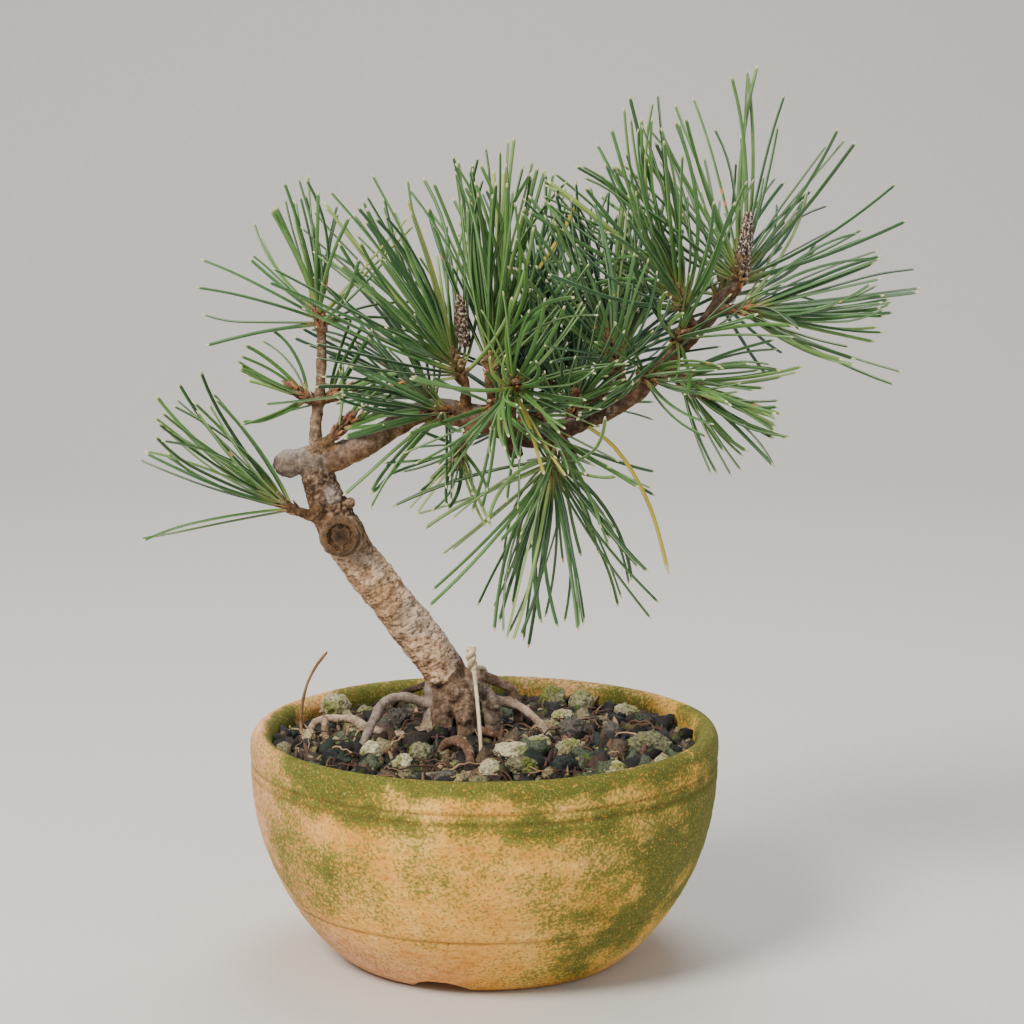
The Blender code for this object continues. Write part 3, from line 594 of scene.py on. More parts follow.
def makeScatterTree():
    tree = bpy.data.node_groups.new("scatter crumbs", "GeometryNodeTree")
    for name, kind in (("Ground", "Geometry"), ("Shapes", "Collection"), ("Density", "Float"),
                       ("Smallest", "Float"), ("Largest", "Float"), ("Seed", "Int"), ("Finish", "Material")):
        tree.interface.new_socket(name, in_out="INPUT", socket_type="NodeSocket" + kind)
    tree.interface.new_socket("Crumbs", in_out="OUTPUT", socket_type="NodeSocketGeometry")
    start = addNode(tree, "NodeGroupInput")
    top = addNode(tree, "GeometryNodeInputNamedAttribute", {"Name": "top"}, data_type="FLOAT")
    upper = addNode(tree, "FunctionNodeCompare", {"A": top, "B": 0.5},
                    data_type="FLOAT", operation="GREATER_THAN")
    spread = addNode(tree, "GeometryNodeDistributePointsOnFaces",
                     {"Mesh": start.outputs["Ground"], "Selection": upper,
                      "Density": start.outputs["Density"], "Seed": start.outputs["Seed"]})
    shapes = addNode(tree, "GeometryNodeCollectionInfo",
                     {"Collection": start.outputs["Shapes"], "Separate Children": True,
                      "Reset Children": True})
    spin = addNode(tree, "FunctionNodeRandomValue", {"Max": (math.tau, math.tau, math.tau), "Seed": 3},
                   data_type="FLOAT_VECTOR")
    size = addNode(tree, "FunctionNodeRandomValue",
                   {"Min": start.outputs["Smallest"], "Max": start.outputs["Largest"], "Seed": 4},
                   data_type="FLOAT")
    shade = addNode(tree, "FunctionNodeRandomValue", {"Seed": 5}, data_type="FLOAT")
    placed = addNode(tree, "GeometryNodeInstanceOnPoints",
                     {"Points": spread.outputs["Points"], "Instance": shapes, "Pick Instance": True,
                      "Rotation": spin, "Scale": size})
    placed = addNode(tree, "GeometryNodeStoreNamedAttribute",
                     {"Geometry": placed, "Name": "tone", "Value": shade},
                     data_type="FLOAT", domain="INSTANCE")
    placed = addNode(tree, "GeometryNodeRealizeInstances", {"Geometry": placed})
    placed = addNode(tree, "GeometryNodeSetMaterial",
                     {"Geometry": placed, "Material": start.outputs["Finish"]})
    addNode(tree, "NodeGroupOutput", {"Crumbs": placed})
    return tree


def makeEarth():
    # damp potting mix with charcoal, bark dust and grit: nearly black, with brown, tan and grey-green crumbs
    finish, tree, shader, spot, tone = newFinish("damp potting mix", "tone")
    grit = addNode(tree, "ShaderNodeTexNoise",
                   {"Vector": spot, "Scale": 1 / (0.8 * mm), "Detail": 4.0, "Roughness": 0.7})
    patch = addNode(tree, "ShaderNodeTexNoise", {"Vector": spot, "Scale": 1 / (9 * mm), "Detail": 3.0})
    kinds = addNode(tree, "ShaderNodeValToRGB", {"Fac": tone}, stops=(
        (0.0, "#0B0908"), (0.2, "#17120F"), (0.34, "#2B211A"), (0.46, "#4A3829"), (0.56, "#20302A"),
        (0.66, "#6A5842"), (0.75, "#55644C"), (0.84, "#948E68"), (0.94, "#C0B98C")))
    kinds.color_ramp.interpolation = "CONSTANT"
    fleck = addNode(tree, "ShaderNodeValToRGB", {"Fac": grit},
                    stops=((0.36, "#3A342E"), (0.5, "#C8C0B4"), (0.64, "#FFFFFF")))
    colour = addNode(tree, "ShaderNodeMix", {"Factor": 0.9, "A": kinds, "B": fleck},
                     data_type="RGBA", blend_type="MULTIPLY")
    mossy = addNode(tree, "ShaderNodeMapRange",
                    {"Value": patch, "From Min": 0.6, "From Max": 0.7, "To Max": 0.7})
    colour = addNode(tree, "ShaderNodeMix", {"Factor": mossy, "A": colour, "B": "#5C7426"}, data_type="RGBA")
    dull = addNode(tree, "ShaderNodeMapRange",
                   {"Value": patch, "From Min": 0.35, "From Max": 0.65, "To Min": 0.6, "To Max": 0.92})
    dress(tree, shader, colour, dull, grit, 0.35, 0.8)
    return finish


def makeRootHair():
    # dry root hairs and bark threads: reddish brown to straw
    finish, tree, shader, spot, tone = newFinish("dry root hairs", "tone")
    fleck = addNode(tree, "ShaderNodeTexNoise", {"Vector": spot, "Scale": 1 / (1.2 * mm), "Detail": 3.0})
    colour = addNode(tree, "ShaderNodeValToRGB", {"Fac": tone},
                     stops=((0.1, "#2B1B14"), (0.4, "#4A3026"), (0.65, "#6E4E3A"), (0.9, "#A88C68")))
    dull = addNode(tree, "ShaderNodeMapRange", {"Value": fleck, "To Min": 0.65, "To Max": 0.9})
    dress(tree, shader, colour, dull, fleck, 0.1, 0.6)
    return finish


def joinMeshes(name, meshes):
    # the first mesh takes in the others, with their finishes and painted values
    holders = []
    for mesh in meshes:
        holder = bpy.data.objects.new(name, mesh)
        bpy.context.scene.collection.objects.link(holder)
        holders.append(holder)
    with bpy.context.temp_override(active_object=holders[0], selected_editable_objects=holders):
        bpy.ops.object.join()
    joined = holders[0].data
    bpy.data.objects.remove(holders[0])
    return joined


def soilBody():
    # fills the bowl with a small gap to its wall, and is painted where crumbs may lie
    gap = soil["gap"]
    low = pot["floor"] + gap
    profile = [(0, soil["pocketTop"]), (soil["pocket"], soil["pocketTop"]), (soil["pocket"], low),
               (innerRadius(pot["floorTurn"]) - pot["floorEdge"] - gap, low)]
    profile += [(innerRadius(height) - gap, height) for height in (14, 20, 30, 44, 58)]
    edge = innerRadius(soil["edge"]) - gap
    reaches = [edge * (1 - k / soil["rings"]) for k in range(soil["rings"] + 1)]
    profile += [(reach, soilHeight(reach)) for reach in reaches]
    mesh = turn("soil", profile, soil["steps"], shapeSoil, False)
    paint(mesh, "top", [float(v.co.z > soil["top"] and math.hypot(v.co.x, v.co.y) < soil["reach"])
                        for v in mesh.vertices])
    # the ground between the crumbs is damp soil, near black, and darkened further as painted shade in the
    # gaps
    paint(mesh, "tone", [0.08 + 0.2 * noise.noise(v.co * 0.3) for v in mesh.vertices])
    return mesh


def growRootHairs(threads):
    chance = random.Random(soil["seed"])
    hairs = Paths()
    joints = rootHair["joints"]
    for k in range(rootHair["count"]):
        reach = rootHair["spread"] * math.sqrt(chance.random())
        a = chance.uniform(0, math.tau)
        spot = Vector((reach * math.cos(a), reach * math.sin(a), 0))
        heading = chance.uniform(0, math.tau)
        length = chance.uniform(rootHair["shortest"], rootHair["longest"])
        spots = []
        for j in range(joints + 1):
            lift = 1.2 + 1.5 * math.sin(math.pi * j / joints) * chance.uniform(0.4, 1.3)
            if j in (0, joints):
                lift = -0.8  # both ends go into the soil
            spots.append(Vector((spot.x, spot.y, soilHeight(spot.length) + lift)))
            heading += chance.uniform(-rootHair["wander"], rootHair["wander"])
            spot = spot + Vector((math.cos(heading), math.sin(heading), 0)) * length / joints
            if spot.length > rootHair["limit"]:
                spot *= rootHair["limit"] / spot.length
        thick = chance.uniform(rootHair["thinnest"], rootHair["thickest"])
        radii = [thick * (1 - 0.5 * j / joints) for j in range(joints + 1)]
        hairs.add(spots, radii, tone=chance.random())
    return hairs.sweep("hairs", rootHair["sides"], 1.0, threads)


def makeSoil():
    mesh = soilBody()
    earth = makeEarth()
    mesh.materials.append(earth)
    threads = makeRootHair()
    scatter = makeScatterTree()
    area = math.pi * soil["reach"] ** 2
    layers = [mesh]
    for number, kind in enumerate(("crumbs", "grit", "lumps", "strips")):
        detail, rough, stretch, count, smallest, largest = soil[kind]
        shapes = bpy.data.collections.new(kind)
        for k in range(soil["kinds"]):
            shape = makeCrumb(kind, k + 7 * number, detail, rough, stretch)
            shapes.objects.link(bpy.data.objects.new(f"{kind}_{k}", shape))
        layers.append(plainMesh(mesh.copy(), scatter, {
            "Shapes": shapes, "Density": count / area, "Smallest": smallest, "Largest": largest,
            "Seed": soil["seed"] + number, "Finish": threads if kind == "strips" else earth}))
        for item in list(shapes.objects):
            bpy.data.objects.remove(item)
        bpy.data.collections.remove(shapes)
    layers.append(growRootHairs(threads))
    addPiece("potting_soil", joinMeshes("soil", layers), "potting_soil", "soil")


print("stage: soil")
makeSoil()


grain = {
    "planes": 16, "nearest": 0.82, "farthest": 1.02, "detail": 5, "seed": 40, "soften": 9,
    "roughness": 0.16, "pitDepth": 0.09, "largest": 1.15,
}

def makeStoneFinish(name, stops, pitSize, mossColour, depth):
    # a volcanic grain: matt and full of gas pits that are darkened as painted shade, with algae where it
    # stays damp
    finish, tree, shader, spot, tone, moss, pit = newFinish(name, "tone", "moss", "pit")
    rough = addNode(tree, "ShaderNodeTexNoise",
                    {"Vector": spot, "Scale": 1 / (1.3 * mm), "Detail": 6.0, "Roughness": 0.75})
    warp = addNode(tree, "ShaderNodeMix", {"Factor": 0.0016, "A": spot, "B": rough.outputs["Color"]},
                   data_type="RGBA", blend_type="ADD")
    pores = addNode(tree, "ShaderNodeTexVoronoi",
                    {"Vector": warp, "Scale": 1 / (pitSize * mm)}, feature="F1")
    shift = addNode(tree, "ShaderNodeMath", {0: rough, 1: 1.6, 2: -0.8}, operation="MULTIPLY_ADD")
    tinted, takes = (addNode(tree, "ShaderNodeMath", {0: value, 1: shift}, operation="ADD")
                     for value in (tone, moss))
    colour = addNode(tree, "ShaderNodeValToRGB", {"Fac": tinted}, stops=stops)
    film = addNode(tree, "ShaderNodeMapRange",
                   {"Value": takes, "From Min": 0.3, "From Max": 0.8, "To Max": 0.85})
    # the pores and the pits are painted dark: painted shade in the hollows
    hole = addNode(tree, "ShaderNodeMapRange",
                   {"Value": pores, "From Min": 0.1, "From Max": 0.45, "To Min": 0.55, "To Max": 0.0})
    dark = addNode(tree, "ShaderNodeMath", {0: hole, 1: pit}, operation="MAXIMUM")
    for share, layer in ((film, mossColour), (dark, "#2C2D20")):
        colour = addNode(tree, "ShaderNodeMix", {"Factor": share, "A": colour, "B": layer}, data_type="RGBA")
    height = addNode(tree, "ShaderNodeMath", {0: hole, 1: -0.8, 2: 0.5}, operation="MULTIPLY_ADD")
    height = addNode(tree, "ShaderNodeMath", {0: height, 1: rough}, operation="ADD")
    dull = addNode(tree, "ShaderNodeMapRange", {"Value": rough, "To Min": 0.85, "To Max": 1.0})
    dress(tree, shader, colour, dull, height, depth, 0.9)
    shader.inputs["Specular IOR Level"].default_value = 0.25
    return finish


def makeGrain(node, number, finish, pits, slotName):
    chance = random.Random(grain["seed"] + number)
    low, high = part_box(node)
    middle = ((low + high) / 2 - potAxis) / mm
    half = (high - low) / 2 / mm
    planes = []
    for k in range(grain["planes"]):
        normal = Vector([chance.gauss(0, 1) for axis in range(3)]).normalized()
        planes.append((normal, chance.uniform(grain["nearest"], grain["farthest"])))
    bm = bmesh.new()
    bmesh.ops.create_icosphere(bm, subdivisions=grain["detail"], radius=1.0)
    offset = Vector((number * 7.3, number * 3.1, number * 1.7))
    pit, moss = [], []
    mossSide = Vector((chance.uniform(-1, 1), chance.uniform(-1, 1), chance.uniform(0.2, 1))).normalized()
    for vert in bm.verts:
        way = vert.co.normalized()
        # a broken stone: flat facets with softened edges
        total = sum((max(way.dot(normal), 0.02) / reach) ** grain["soften"] for normal, reach in planes)
        radius = min(total ** (-1 / grain["soften"]), grain["largest"])
        radius += grain["roughness"] * noise.fractal(way * 2.3 + offset, 0.75, 2.0, 6)
        hollow = noise.voronoi(way * pits + offset)[0][0]
        deep = smoothstep(0.3, 0.12, hollow)
        radius -= grain["pitDepth"] * deep
        # painted shade in the pits, read by the material
        pit.append(deep * 0.55)
        moss.append(max(0.0, 0.45 * way.dot(mossSide) + 0.5 * noise.noise(way * 1.6 + offset) + 0.15))
        vert.co = middle + Vector((way.x * half.x, way.y * half.y, way.z * half.z)) * radius
    mesh = bpy.data.meshes.new(node)
    bm.to_mesh(mesh)
    bm.free()
    paint(mesh, "pit", pit)
    paint(mesh, "moss", moss)
    paint(mesh, "tone", [chance.uniform(0.1, 0.9)] * len(mesh.vertices))
    mesh.materials.append(finish)
    addPiece(node.replace("grain_", "") + "_grain", mesh, slotName, node)


def makeGrains():
    pumiceFinish = makeStoneFinish("weathered pumice", (
        (0.05, "#4E5240"), (0.32, "#7E7C60"), (0.55, "#ACA682"), (0.85, "#D8CEAA")), 1.0, "#7C8830", 0.8)
    lavaFinish = makeStoneFinish("black lava", (
        (0.0, "#262A2A"), (0.35, "#3A3F3D"), (0.6, "#4A4540"), (0.85, "#6C665E")), 1.2, "#3E5244", 0.6)
    for number, node in enumerate(sorted(frame["nodes"])):
        if node.startswith("grain_pumice"):
            makeGrain(node, number, pumiceFinish, 2.6, "pumice")
        elif node.startswith("grain_lava"):
            makeGrain(node, number, lavaFinish, 3.2, "lava")


print("stage: pumice and lava grains")
makeGrains()


# each route: colour, how flaky its bark is, and points as x, y, z and radius
wood = {
    "trunk": ("#E6C6A8", 1.0, (
        (-11.5, 15, 60, 8.2), (-11.6, 14, 73, 8.6), (-11.9, 13.5, 82, 7.9), (-13.5, 13, 90, 7.1),
        (-18.7, 12, 98, 6.9), (-25.4, 11, 107, 6.7), (-34.2, 9, 119, 6.6), (-42, 7, 130, 6.9),
        (-46.8, 5, 139, 6.8), (-50.3, 3.5, 147.5, 5.9), (-52.4, 2, 154, 5.3), (-53.4, 0.5, 160, 4.8))),
    "stub": ("#857A72", 0.45, (
        (-50, 0, 161, 4.4), (-57, 0, 160.8, 4.5), (-61.5, 0, 160, 4.6), (-64.4, 0, 159.5, 4.0),
        (-66.0, 0, 159.2, 2.7))),
    "branch": ("#836C5C", 0.3, (
        (-55, 0.2, 160.3, 4.5), (-48.5, 0, 161.4, 4.2), (-42, 0, 164.2, 4.0), (-35.2, 0, 167.4, 3.9),
        (-28.2, 0, 172, 3.7), (-19, 0, 176.6, 3.4), (-9.2, 2, 175.6, 4.2), (1.2, 3, 173, 4.6),
        (10, 3, 169.6, 4.0), (17, 3, 167.9, 3.5), (24.7, 3, 170.4, 3.3), (38.9, 2, 176.4, 3.0),
        (49.2, 0, 183.4, 2.8), (56.1, 0, 191, 2.7), (67.6, 0, 202.7, 2.4), (74.5, 0, 210.6, 2.1),
        (79.2, 0, 216.6, 1.7))),
    "leader": ("#94806C", 0.9, (
        (-53.8, 0, 158, 2.4), (-53.2, 0, 173, 1.9), (-52.1, 0, 181, 1.8), (-51.4, 0, 190, 1.6),
        (-51.1, 0, 203, 1.5))),
    "cutStub": ("#5F4636", 0.4, (
        (6, 2, 171, 2.6), (9, 0, 166, 2.4), (10.3, -1.5, 162.4, 2.2))),
    "longLeft": ("#B8A58C", 0.6, (
        (-9, 9, 76, 2.4), (-14.8, 6, 73.6, 1.9), (-21.2, 4, 71.2, 1.6), (-28.2, 2, 70.6, 1.6),
        (-33, 4, 71.2, 1.5), (-39.4, 8, 72.4, 1.6), (-43, 13, 73.4, 1.5), (-48, 16, 73.0, 1.5),
        (-55, 17, 71.6, 1.3), (-58.5, 17.4, 66, 1.2))),
    "archLeft": ("#93857C", 0.2, (
        (-11, 11, 79, 2.4), (-18.7, 10, 79.4, 1.8), (-24, 10, 81.2, 1.6), (-29.6, 8.5, 81.6, 1.6),
        (-33.4, 4, 80.0, 1.5), (-35.7, -1.5, 76.4, 1.5), (-38, -6, 72.1, 1.4), (-40.5, -8, 66, 1.3))),
    "forkLeft": ("#96806C", 0.3, (
        (-52, 16.5, 72.4, 1.4), (-52, 11, 71.5, 1.2), (-51, 5, 66, 1.1))),
    "archFront": ("#7A5F50", 0.5, (
        (-13, 3, 68, 1.8), (-13.2, -6, 64.5, 1.6), (-13.5, -14, 64.5, 1.6), (-13.6, -16, 69.5, 1.6),
        (-12.1, -17.5, 72.8, 1.6), (-8.6, -20.5, 74.4, 1.6), (-5.2, -25, 73.2, 1.6),
        (-4.2, -30, 70.4, 1.5), (-4.6, -34, 64, 1.4))),
    "rightBack": ("#8C7868", 0.4, (
        (-9, 12, 88, 2.8), (-3.5, 12.5, 88.6, 2.0), (0.7, 13, 87.3, 1.8), (5.2, 14, 85.2, 1.7),
        (8.8, 15, 82.4, 1.6), (10.4, 17, 76, 1.5), (11, 19, 65, 1.4))),
    "rightPale": ("#AD9580", 0.3, (
        (-6, 13, 80, 2.6), (4, 14, 79.5, 1.7), (11.7, 14, 77.2, 1.4), (15.6, 11, 74.8, 1.3),
        (19, 7, 72, 1.3), (22.7, 2.5, 66, 1.1))),
    "backLeft": ("#4F3F35", 0.3, (
        (-13, 17, 84, 2.0), (-20.6, 21, 82.6, 1.3), (-29, 27, 77, 1.1), (-34, 31, 66, 1.0))),
    "lowFront": ("#6B5244", 0.3, (
        (-9, 11, 76, 3.0), (-4.4, 4, 74, 2.2), (-0.4, 0, 72.6, 1.4), (6, -2, 71.4, 1.2),
        (14, -4, 70, 1.0), (18, -5, 66, 0.9))),
    "toeLeft": ("#7C685A", 0.9, (
        (-13, 11, 82, 5.0), (-13.5, 5, 76, 3.9), (-13, 1.5, 70, 3.0), (-13, 0, 64, 2.2))),
    "toeMiddle": ("#86715F", 0.9, (
        (-9, 9, 84, 4.6), (-6.6, 3.4, 80, 3.7), (-6.2, 0.5, 74, 2.6), (-6, -1, 64, 1.9))),
    "toeRight": ("#7E7268", 0.7, (
        (-6, 11, 84, 4.2), (0.6, 7, 82.6, 3.0), (2.6, 4, 77, 2.9), (2.6, 3, 64, 2.4))),
}
bark = {
    "voxel": 0.48, "step": 1.0, "sides": 28, "squeeze": 2.6, "seed": 11, "branchKnots": 26,
    # size of the cells of bark, as cells in a millimetre, and how far each layer of it stands out
    "plateScale": 0.36, "flakeScale": 0.85,
    "plate": 0.14, "flake": 0.1, "fleck": 0.16, "wrinkle": 0.03, "swell": 0.4, "ring": 0.09,
    "barePatch": (-47.5, -2.5, 150.5),
    "dark": "#3E2C22", "tan": "#B08A5E", "bare": "#B9AFA9", "rust": "#7E5434", "twig": "#7A6248",
}
scar = {"place": (-45.7, -1.6, 136.6), "facing": (-0.12, -1.0, 0.05), "size": 0.88, "edge": 9.0,
        "rings": 48, "ringStep": 0.17, "depth": -6.0, "steps": 64}
# knots and sleeping buds on the trunk and the crown of the roots: place and size
knots = (
    ((-12, 4, 79), 3.1), ((-6.4, -0.6, 77), 2.7), ((-9.6, 2.6, 84), 2.8), ((-15.8, 6.6, 88), 2.0),
    ((3, 2.6, 81), 2.4), ((-2.2, 2.4, 86), 2.0), ((-53, -2.6, 146), 2.4), ((-43, 0.5, 147), 1.8),
)
# each tuft: where its twig leaves the wood, where the needles start, their lean, how far the shoot
# carries needles, number of pairs, needle length, opening at the tip and at the foot in degrees, hue
# a high hue, given mostly to the tufts and shoots at the back, makes the needles darker and bluer: partly
# bloom, partly painted shade
tufts = {
    "right_tip": ((75.5, 0, 211.8), (79.9, 0, 217.8), (0.12, 0.0, 1.0), 7, 30, 59, 8, 84, 0.4),
    "low_left": ((-50, 4, 141), (-61.4, -2, 146), (-0.82, -0.15, 0.57), 8, 13, 50, 8, 44, 0.2),
    "centre": ((3, 3, 174), (2.0, -3, 190), (0.06, -0.12, 1.0), 12, 34, 64, 6, 54, 0.2),
    "centre_left": ((-6, 2, 176), (-7.0, -3, 188), (-0.45, -0.1, 0.85), 12, 36, 62, 10, 72, 0.4),
    "hanging": ((19.5, 3, 168), (21.4, -4, 162.4), (-0.06, -0.12, -1.0), 7, 25, 58, 12, 90, 0.45),
    "right_side": ((73, 0, 209), (80.0, -5, 209.5), (0.95, -0.25, 0.02), 8, 18, 50, 8, 60, 0.5),
    "right_left": ((66, 0, 201), (63.0, -7, 210), (-0.42, -0.25, 0.87), 12, 26, 58, 8, 66, 0.45),
    "front": ((8, 3, 170.5), (9.0, -20, 186.5), (0.1, -0.9, 0.4), 6, 22, 36, 35, 96, 0.25),
    "leader_tip": ((-51.1, 0, 202), (-51.2, 0, 203.8), (-0.2, 0.0, 1.0), 10, 16, 43, 8, 82, 0.5),
    "back_left": ((16, 3, 168.5), (21.0, 17, 180), (-0.05, 0.3, 0.94), 14, 28, 58, 8, 76, 0.85),
    "back_right": ((33, 2, 174), (40.0, 18, 186), (0.15, 0.25, 0.94), 14, 28, 50, 8, 76, 0.9),
    "branch_top": ((44, 1, 180), (42.0, -5, 192), (-0.3, -0.25, 0.9), 12, 22, 52, 8, 72, 0.7),
    "right_low": ((60, 0, 195), (61.0, -6, 188), (0.85, -0.3, -0.5), 8, 16, 36, 12, 72, 0.3),
    "right_back": ((70, 0, 205.5), (74.0, 9, 211), (0.35, 0.75, 0.5), 10, 18, 48, 12, 76, 0.8),
    "centre_low": ((-4, 2, 171), (-7.0, -6, 166), (-0.35, -0.45, -0.8), 5, 8, 24, 20, 84, 0.35),
    "leader_left": ((-52.1, 0, 179.6), (-55.6, -1, 181), (-0.8, -0.1, 0.55), 5, 6, 24, 14, 62, 0.2),
    "leader_right": ((-52.1, 0, 179.6), (-48.6, 1, 181), (0.85, 0.1, 0.35), 5, 6, 26, 14, 60, 0.4),
    "side": ((-52.6, 0, 165), (-46.0, -3.4, 170.6), (0.6, -0.3, 0.7), 5, 4, 22, 14, 60, 0.2),
}
# smaller shoots that belong to a tuft: where its needles start, lean, reach, pairs, length, openings, hue
sideShoots = {
    "centre_left": (((-16, 4, 179), (-0.7, 0.3, 0.6), 7, 14, 46, 10, 70, 0.85),
                    ((-12, -5, 177), (-0.8, -0.5, 0.1), 5, 12, 40, 15, 70, 0.4)),
    "centre": (((6, 5, 180), (0.2, 0.6, 0.85), 8, 14, 50, 10, 66, 0.85),
               ((4, -8, 180), (-0.2, -0.9, -0.1), 5, 10, 34, 20, 80, 0.3)),
    "back_left": (((14, 8, 174), (0.1, 0.9, 0.2), 6, 12, 42, 15, 80, 0.95),),
    "back_right": (((30, 8, 178), (-0.2, 0.5, 0.8), 8, 14, 46, 12, 76, 0.95),),
    "branch_top": (((28, -4, 177), (0.1, -0.6, 0.75), 6, 12, 40, 14, 80, 0.5),
                   ((50, -3, 188), (0.5, -0.6, 0.1), 6, 10, 38, 14, 74, 0.5)),
    "right_left": (((60, -5, 200), (0.2, -0.7, 0.3), 6, 10, 40, 14, 80, 0.4),),
    "front": (((13, -6, 176), (0.6, -0.6, 0.1), 5, 10, 34, 20, 80, 0.35),),
    "hanging": (((24, -3, 168), (0.5, -0.3, -0.7), 4, 7, 38, 12, 60, 0.45),),
}


def tubeParts(path, sides, first):
    # points and faces of a closed tube with rounded ends
    spots = [spot for spot, radius in path]
    points, faces = [], []
    for (spot, radius), (tangent, side, rise) in zip(path, framesAlong(spots)):
        for k in range(sides):
            a = math.tau * k / sides
            points.append(spot + (side * math.cos(a) + rise * math.sin(a)) * radius)
    rows = len(path)
    for j in range(rows - 1):
        for k in range(sides):
            n = (k + 1) % sides
            faces.append([first + j * sides + k, first + j * sides + n,
                          first + (j + 1) * sides + n, first + (j + 1) * sides + k])
    tips = ((path[0], path[1], 0), (path[-1], path[-2], rows - 1))
    for (spot, radius), (inner, size), row in tips:
        points.append(spot + (spot - inner).normalized() * radius * 0.45)
        tip = first + len(points) - 1
        for k in range(sides):
            n = (k + 1) % sides
            ring = [first + row * sides + k, first + row * sides + n]
            faces.append([*(ring if row else ring[::-1]), tip])
    return points, faces


def twigRoute(start, base, lean):
    start, base = Vector(start), Vector(base)
    lean = Vector(lean).normalized()
    spots = (start, start.lerp(base - lean * 3, 0.55), base - lean * 1.5, base + lean * 2)
    return [(*spot, radius) for spot, radius in zip(spots, (1.9, 1.7, 1.6, 1.4))]


def scarProfile():
    # the sawn face, the dark gap round it and the rolls of callus, along the scar's own axis
    profile = [(0.0, -0.35)]
    for k in range(1, scar["rings"] + 1):
        radius = k * scar["ringStep"]
        height = -0.45 + 0.12 * math.sin(radius * 5)
        if radius > 3.5:
            height = -1.3 + 2.3 * smoothstep(3.7, 4.6, radius)
        if radius > 5.0:
            height = 1.0 + 0.18 * math.sin((radius - 5) * 5.2) - 2.0 * smoothstep(5.9, 8.0, radius)
        profile.append((radius * scar["size"], height))
    return profile + [(8.2 * scar["size"], scar["depth"]), (0.0, scar["depth"])]


def makeWoodMesh():
    # every route as a tube, knots and the scar, remeshed as one; samples say which route a point is on
    points, faces, samples = [], [], []
    chance = random.Random(bark["seed"])
    routes = {name: (smoothRoute(route, bark["step"]), colour, flaky)
              for name, (colour, flaky, route) in wood.items()}
    for name, (start, base, lean, *rest) in tufts.items():
        routes[f"twig_{name}"] = (smoothRoute(twigRoute(start, base, lean), bark["step"]), bark["twig"], 0.8)
    for name, (path, colour, flaky) in routes.items():
        offset = Vector((len(name) * 3.1, len(path), 7.7))
        wobbly = [(spot, radius * (1 + 0.13 * noise.noise(spot * 0.22 + offset))) for spot, radius in path]
        more, ring = tubeParts(wobbly, bark["sides"], len(points))
        points += more
        faces += ring
        spots = [spot for spot, radius in wobbly]
        length = 0.0
        for k, ((spot, radius), (tangent, side, rise)) in enumerate(zip(wobbly, framesAlong(spots))):
            length += (spot - spots[max(k - 1, 0)]).length
            samples.append((spot, radius, linear(colour)[:3], flaky, name, tangent, length))
    domes = list(knots)
    for k in range(bark["branchKnots"]):
        spot, radius = chance.choice(routes["branch"][0][12:])
        way = Vector([chance.gauss(0, 1) for axis in range(3)]).normalized()
        domes.append((spot + way * radius * 0.9, chance.uniform(0.7, 1.4)))
    for spot, size in domes:
        bm = bmesh.new()
        bmesh.ops.create_icosphere(bm, subdivisions=3, radius=size)
        first = len(points)
        spot = Vector(spot)
        points += [spot + v.co * (1 + 0.18 * noise.noise(v.co * 0.7 + spot)) for v in bm.verts]
        faces += [[first + v.index for v in f.verts] for f in bm.faces]
        bm.free()
    facing = Vector(scar["facing"]).normalized()
    place = Matrix.Translation(scar["place"]) @ facing.to_track_quat("Z", "X").to_matrix().to_4x4()
    sawn = turn("scar", scarProfile()[::-1], scar["steps"],
                lambda p: p + up * 0.25 * noise.noise(p * 0.8), False)
    sawn.transform(place)
    first = len(points)
    points += [v.co.copy() for v in sawn.vertices]
    faces += [[first + k for k in f.vertices] for f in sawn.polygons]

    mesh = newMesh("wood", points, faces)
    holder = bpy.data.objects.new("wood", mesh)
    bpy.context.scene.collection.objects.link(holder)
    remesh = holder.modifiers.new("grown together", "REMESH")
    remesh.mode = "VOXEL"
    remesh.voxel_size = bark["voxel"]
    made = bpy.data.meshes.new_from_object(holder.evaluated_get(bpy.context.evaluated_depsgraph_get()))
    bpy.data.objects.remove(holder)
    return made, samples, place


def flakes(point, stretch):
    # plates of bark: raised cells with cracks between them
    cell = noise.voronoi(point * stretch)[0]
    return min((cell[1] - cell[0]) * 2.4, 1.0)


